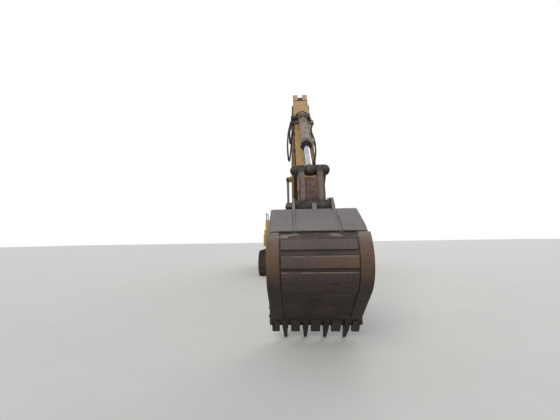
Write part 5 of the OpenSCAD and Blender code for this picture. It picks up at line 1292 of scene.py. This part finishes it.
# Stick hoses, as (left, along, out) on the stick. The left and inner ones hang down beside it in open loops and come
# back up, the right one lies over the front plate; each leaves its block by a steel elbow, and two steel pipes cross
# the stick above the cylinder's foot pin, the second one lifted over the first
stickHoses = {"radius": 17, "steelRadius": 13, "crossLift": (0, 48), "crossSpan": 380, "cylinderHose": 12,
              "left": [(-267, 538, 308), (-272, 630, 318), (-290, 760, 328), (-314, 946, 328), (-332, 1150, 312),
                       (-342, 1360, 288), (-347, 1540, 270), (-346, 1650, 258), (-340, 1745, 218), (-332, 1785, 126),
                       (-323, 1745, 34), (-312, 1650, -6), (-298, 1500, -6), (-283, 1300, 10), (-265, 1076, 42),
                       (-250, 850, 84), (-234, 650, 130), (-216, 520, 165), (-198, 425, 190)],
              "inner": [(-250, 592, 303), (-256, 680, 312), (-272, 790, 318), (-288, 920, 315), (-300, 1060, 302),
                        (-302, 1155, 268), (-298, 1195, 180), (-292, 1155, 92), (-284, 1060, 58), (-270, 900, 62),
                        (-252, 720, 84), (-230, 560, 112), (-198, 425, 130)],
              "right": [(223, 750, 385), (214, 815, 383), (186, 900, 378), (164, 1000, 368), (156, 1106, 353),
                        (187, 1257, 333), (205, 1379, 317), (207, 1560, 293), (208, 1665, 280), (194, 1864, 254),
                        (173, 1960, 238), (150, 2060, 205)],
              "elbows": [[(-198, 470, 296), (-240, 476, 300), (-262, 500, 305), (-267, 548, 309)],
                         [(-198, 535, 292), (-228, 540, 296), (-246, 562, 300), (-250, 602, 304)],
                         [(116, 598, 374), (150, 618, 386), (200, 640, 388), (222, 668, 387), (226, 710, 386),
                          (223, 760, 385)]],
              "cross": [(190, 500, 300), (186, 450, 330), (150, 420, 385), (75, 404, 432), (0, 402, 440),
                        (-75, 404, 432), (-150, 420, 385), (-186, 450, 330), (-190, 500, 300)],
              "toCylinder": [(-200, 552, 262), (-224, 600, 280), (-236, 700, 340), (-224, 800, 405)],
              "onCylinder": [(-184, 272, 4), (-134, 302, 4), (-84, 308, 4)]}


def addStickHoses(s):
    parts = [part for key in ("left", "inner", "right")
             for part in hosePart(armPoints("stick", s[key]), s["radius"], sides=12)]
    addPiece("stickHoses", parts, "hoseRubber", "stick", smooth=60)
    routes = s["elbows"] + [[(x, a, out + lift * (1 - abs(x) / s["crossSpan"])) for x, a, out in s["cross"]]
                            for lift in s["crossLift"]]
    addPiece("stickCrossPipes", [tubePart(armPoints("stick", r), s["steelRadius"], steps=4) for r in routes],
             "blackEnamel", "stick", smooth=60)
    parts = hosePart(armPoints("stick", s["toCylinder"]) + armPoints("bucketCylinder", s["onCylinder"]),
                     s["cylinderHose"])
    blendHoses("bucketCylinderHose", parts)


addStickHoses(stickHoses)

# Cylinder heads: bolts round the gland, a wiper ring on the rod, and bands that hold the oil pipe; for each cylinder
# its body, its frame, its lefts, the length of its barrel and its radius
cylinderHeads = [("boom_cylinder_barrels", "boomCylinder", (-400, 400), 1761, 88),
                 ("stick_cylinder_barrel", "stickCylinder", (0,), 2099, 95),
                 ("bucket_cylinder_barrel", "bucketCylinder", (0,), 1380, 83)]
headTrim = {"wiperRing": [(-3, 66), (5, 62), (7, 54), (7, 51), (-3, 51)], "bandHalf": 13, "bandThick": (-1, 4),
            "bandFromFoot": 360, "bandFromHead": 420, "boltsFromHead": 20, "boltsOutside": 5, "bolts": (10, 9, 10)}


def addCylinderHeads(heads, s):
    half, (inner, outer) = s["bandHalf"], s["bandThick"]
    for body, name, xs, length, r in heads:
        parts, rubber = [], []
        ahead = armDirection(name, 1, 0)
        band = [(-half, r + inner), (-half, r + outer), (half, r + outer), (half, r + inner)]
        for x in xs:
            parts += boltCircle(armPoint(name, x, length - s["boltsFromHead"], 0), ahead, r + s["boltsOutside"],
                                *s["bolts"])
            rubber.append(turnedPart(armPoint(name, x, length, 0), ahead, s["wiperRing"], 28, True))
            for along in (s["bandFromFoot"], length - s["bandFromHead"]):
                parts.append(turnedPart(armPoint(name, x, along, 0), ahead, band, 32, True))
        addPiece("headBolts_" + body, parts, "cylinderPaint", body, smooth=35)
        addPiece("wiperRings_" + body, rubber, "sealRubber", body, smooth=35)


addCylinderHeads(cylinderHeads, headTrim)

# Weld beads along the seams of boom and stick: lines of (along, out) beside the middle, and how thick they are
armWelds = {"boomEdge": (232, 900, 5301, 220), "edgeInset": (12, 24), "edgeRadius": 5,
            "boomLug": (103, [(2870, 1362), (3290, 1318)], 6),
            "stick": [(103, [(400, 334), (900, 322)], 6), (173, [(900, 296), (2200, 127), (2750, 112)], 5)]}


def besideWeld(name, x, points, radius):
    return weldPart([armPoint(name, x, a, o) for a, o in points], radius)


def addArmWelds(s):
    edge, first, last, step = s["boomEdge"]
    lug, lugLine, lugRadius = s["boomLug"]
    across, down = s["edgeInset"]
    beads = []
    for side in (-1, 1):
        inwards = armDirection("boom", 0, -down) / 1000 + place(-side * across, 0, 0)
        beads.append(weldPart([p + inwards for p in boomPath(side * edge, np.arange(first, last, step), 0)],
                              s["edgeRadius"]))
        beads.append(besideWeld("boom", side * lug, lugLine, lugRadius))
    addPiece("boomWelds", beads, "armEnamel", "boom", smooth=70)
    beads = [besideWeld("stick", side * x, line, radius) for side in (-1, 1) for x, line, radius in s["stick"]]
    addPiece("stickWelds", beads, "armEnamel", "stick", smooth=70)


addArmWelds(armWelds)

# Bucket: beads along the wear strips at their angles round the heel, ends of the tooth pins, a rib in front of the
# tube, seals at the link, and side cutter bolts; points are (along, out) on the bucket
bucketTrim = {"heel": (550, -612), "radius": 533, "beadHalf": 422, "strips": (24, 12, 4, -10, -16, -30, -32, -44),
              "toothPin": (294, -1596), "teeth": (-417, -139, 139, 417), "toothHalf": 36,
              "pinEnd": [(-12, 17), (3, 17), (5, 13), (5, 0.1)],
              "rib": [(548, 0), (541, 60), (533, 105), (552, 114), (578, 96), (610, 40), (648, -40), (640, -60)],
              "ribX": (-17, 43), "sealX": (-248.5, 244.5), "sealAt": (430, 76),
              "seal": [(0, 97), (0, 104), (4, 104), (4, 97)], "side": 631,
              "cutterBolts": ((318, -1330), (300, -1235), (330, -1440))}


def addBucketTrim(s):
    beads = []
    for angle in np.radians(s["strips"]):
        along, out = s["heel"][0] + s["radius"] * math.cos(angle), s["heel"][1] + s["radius"] * math.sin(angle)
        beads.append(weldPart([armPoint("bucket", x, along, out) for x in (-s["beadHalf"], s["beadHalf"])], 6, 20))
    pins = [turnedPart(armPoint("bucket", x + side * s["toothHalf"], *s["toothPin"]), (side, 0, 0), s["pinEnd"], 18)
            for x in s["teeth"] for side in (-1, 1)]
    addPiece("bucketWelds", beads, "bucketPlate", "bucket", smooth=70)
    addPiece("toothPins", pins, "pinSteel", "bucket", smooth=40)
    forward, up = armFrames["bucket"][0]
    rib = platePart([(a + forward, b + up) for a, b in s["rib"]], s["ribX"])
    addPiece("bucketRib", [rib], "bucketPlate", "bucket", bevel=0.004)
    seals = [turnedPart(armPoint("bucket", x, *s["sealAt"]), (1, 0, 0), s["seal"], 36, True) for x in s["sealX"]]
    addPiece("linkSeals", seals, "sealRubber", "bucket", smooth=40)
    bolts = [bolt for side in (-1, 1) for along, out in s["cutterBolts"]
             for bolt in boltParts([armPoint("bucket", side * s["side"], along, out)], (side, 0, 0), 16, 14)]
    addPiece("sideCutterBolts", bolts, "pinSteel", "bucket")


addBucketTrim(bucketTrim)
print("arm dressed")

# Plain pale floor, and soft light like the photograph's overcast sky; what the camera sees of the sky is white
stageLook = {"floorHalf": 150, "floorTone": "#d9d6d0", "floorDrift": "#d3d0ca", "floorRough": 0.85, "sky": "#dfe6ee",
             "skyPower": 0.62, "backPower": 1.0, "sunAngleDeg": 40,
             "suns": [("sun", 1.5, (48, 0, -28)), ("fill", 0.5, (62, 0, 150))]}


def addStage(s):
    half = s["floorHalf"]
    mesh = bpy.data.meshes.new("floor")
    mesh.from_pydata([(-half, -half, 0), (half, -half, 0), (half, half, 0), (-half, half, 0)], [], [(0, 1, 2, 3)])
    material, tree = newMaterial("paleConcrete")
    tone = mixColour(tree, noiseMask(tree, objectPoint(tree), 1.5, 0.2, 0.8), linear(s["floorTone"]),
                     linear(s["floorDrift"]))
    shader = addNode(tree, "ShaderNodeBsdfPrincipled", {"Base Color": tone, "Roughness": s["floorRough"]})
    finishMaterial(tree, shader)
    mesh.materials.append(material)
    floor = bpy.data.objects.new("floor", mesh)
    bpy.context.scene.collection.objects.link(floor)
    world = bpy.data.worlds.new("softSky")
    bpy.context.scene.world = world
    world.use_nodes = True
    tree = world.node_tree
    tree.nodes.clear()
    path = addNode(tree, "ShaderNodeLightPath")
    seen = mathNode(tree, "MAXIMUM", path.outputs["Is Camera Ray"], path.outputs["Is Glossy Ray"])
    seen = mathNode(tree, "MAXIMUM", seen, path.outputs["Is Transmission Ray"])
    colour = mixColour(tree, seen, linear(s["sky"]), (1, 1, 1, 1))
    power = mathNode(tree, "ADD", s["skyPower"], times(tree, seen, s["backPower"] - s["skyPower"]))
    background = addNode(tree, "ShaderNodeBackground", {"Color": colour, "Strength": power})
    output = addNode(tree, "ShaderNodeOutputWorld")
    tree.links.new(background.outputs[0], output.inputs["Surface"])
    for name, energy, turn in s["suns"]:
        light = bpy.data.lights.new(name, "SUN")
        light.energy = energy
        light.angle = math.radians(s["sunAngleDeg"])
        lamp = bpy.data.objects.new(name, light)
        lamp.rotation_euler = [math.radians(a) for a in turn]
        bpy.context.scene.collection.objects.link(lamp)
    bpy.context.scene.view_settings.view_transform = "Standard"


addStage(stageLook)
print("stage lit")
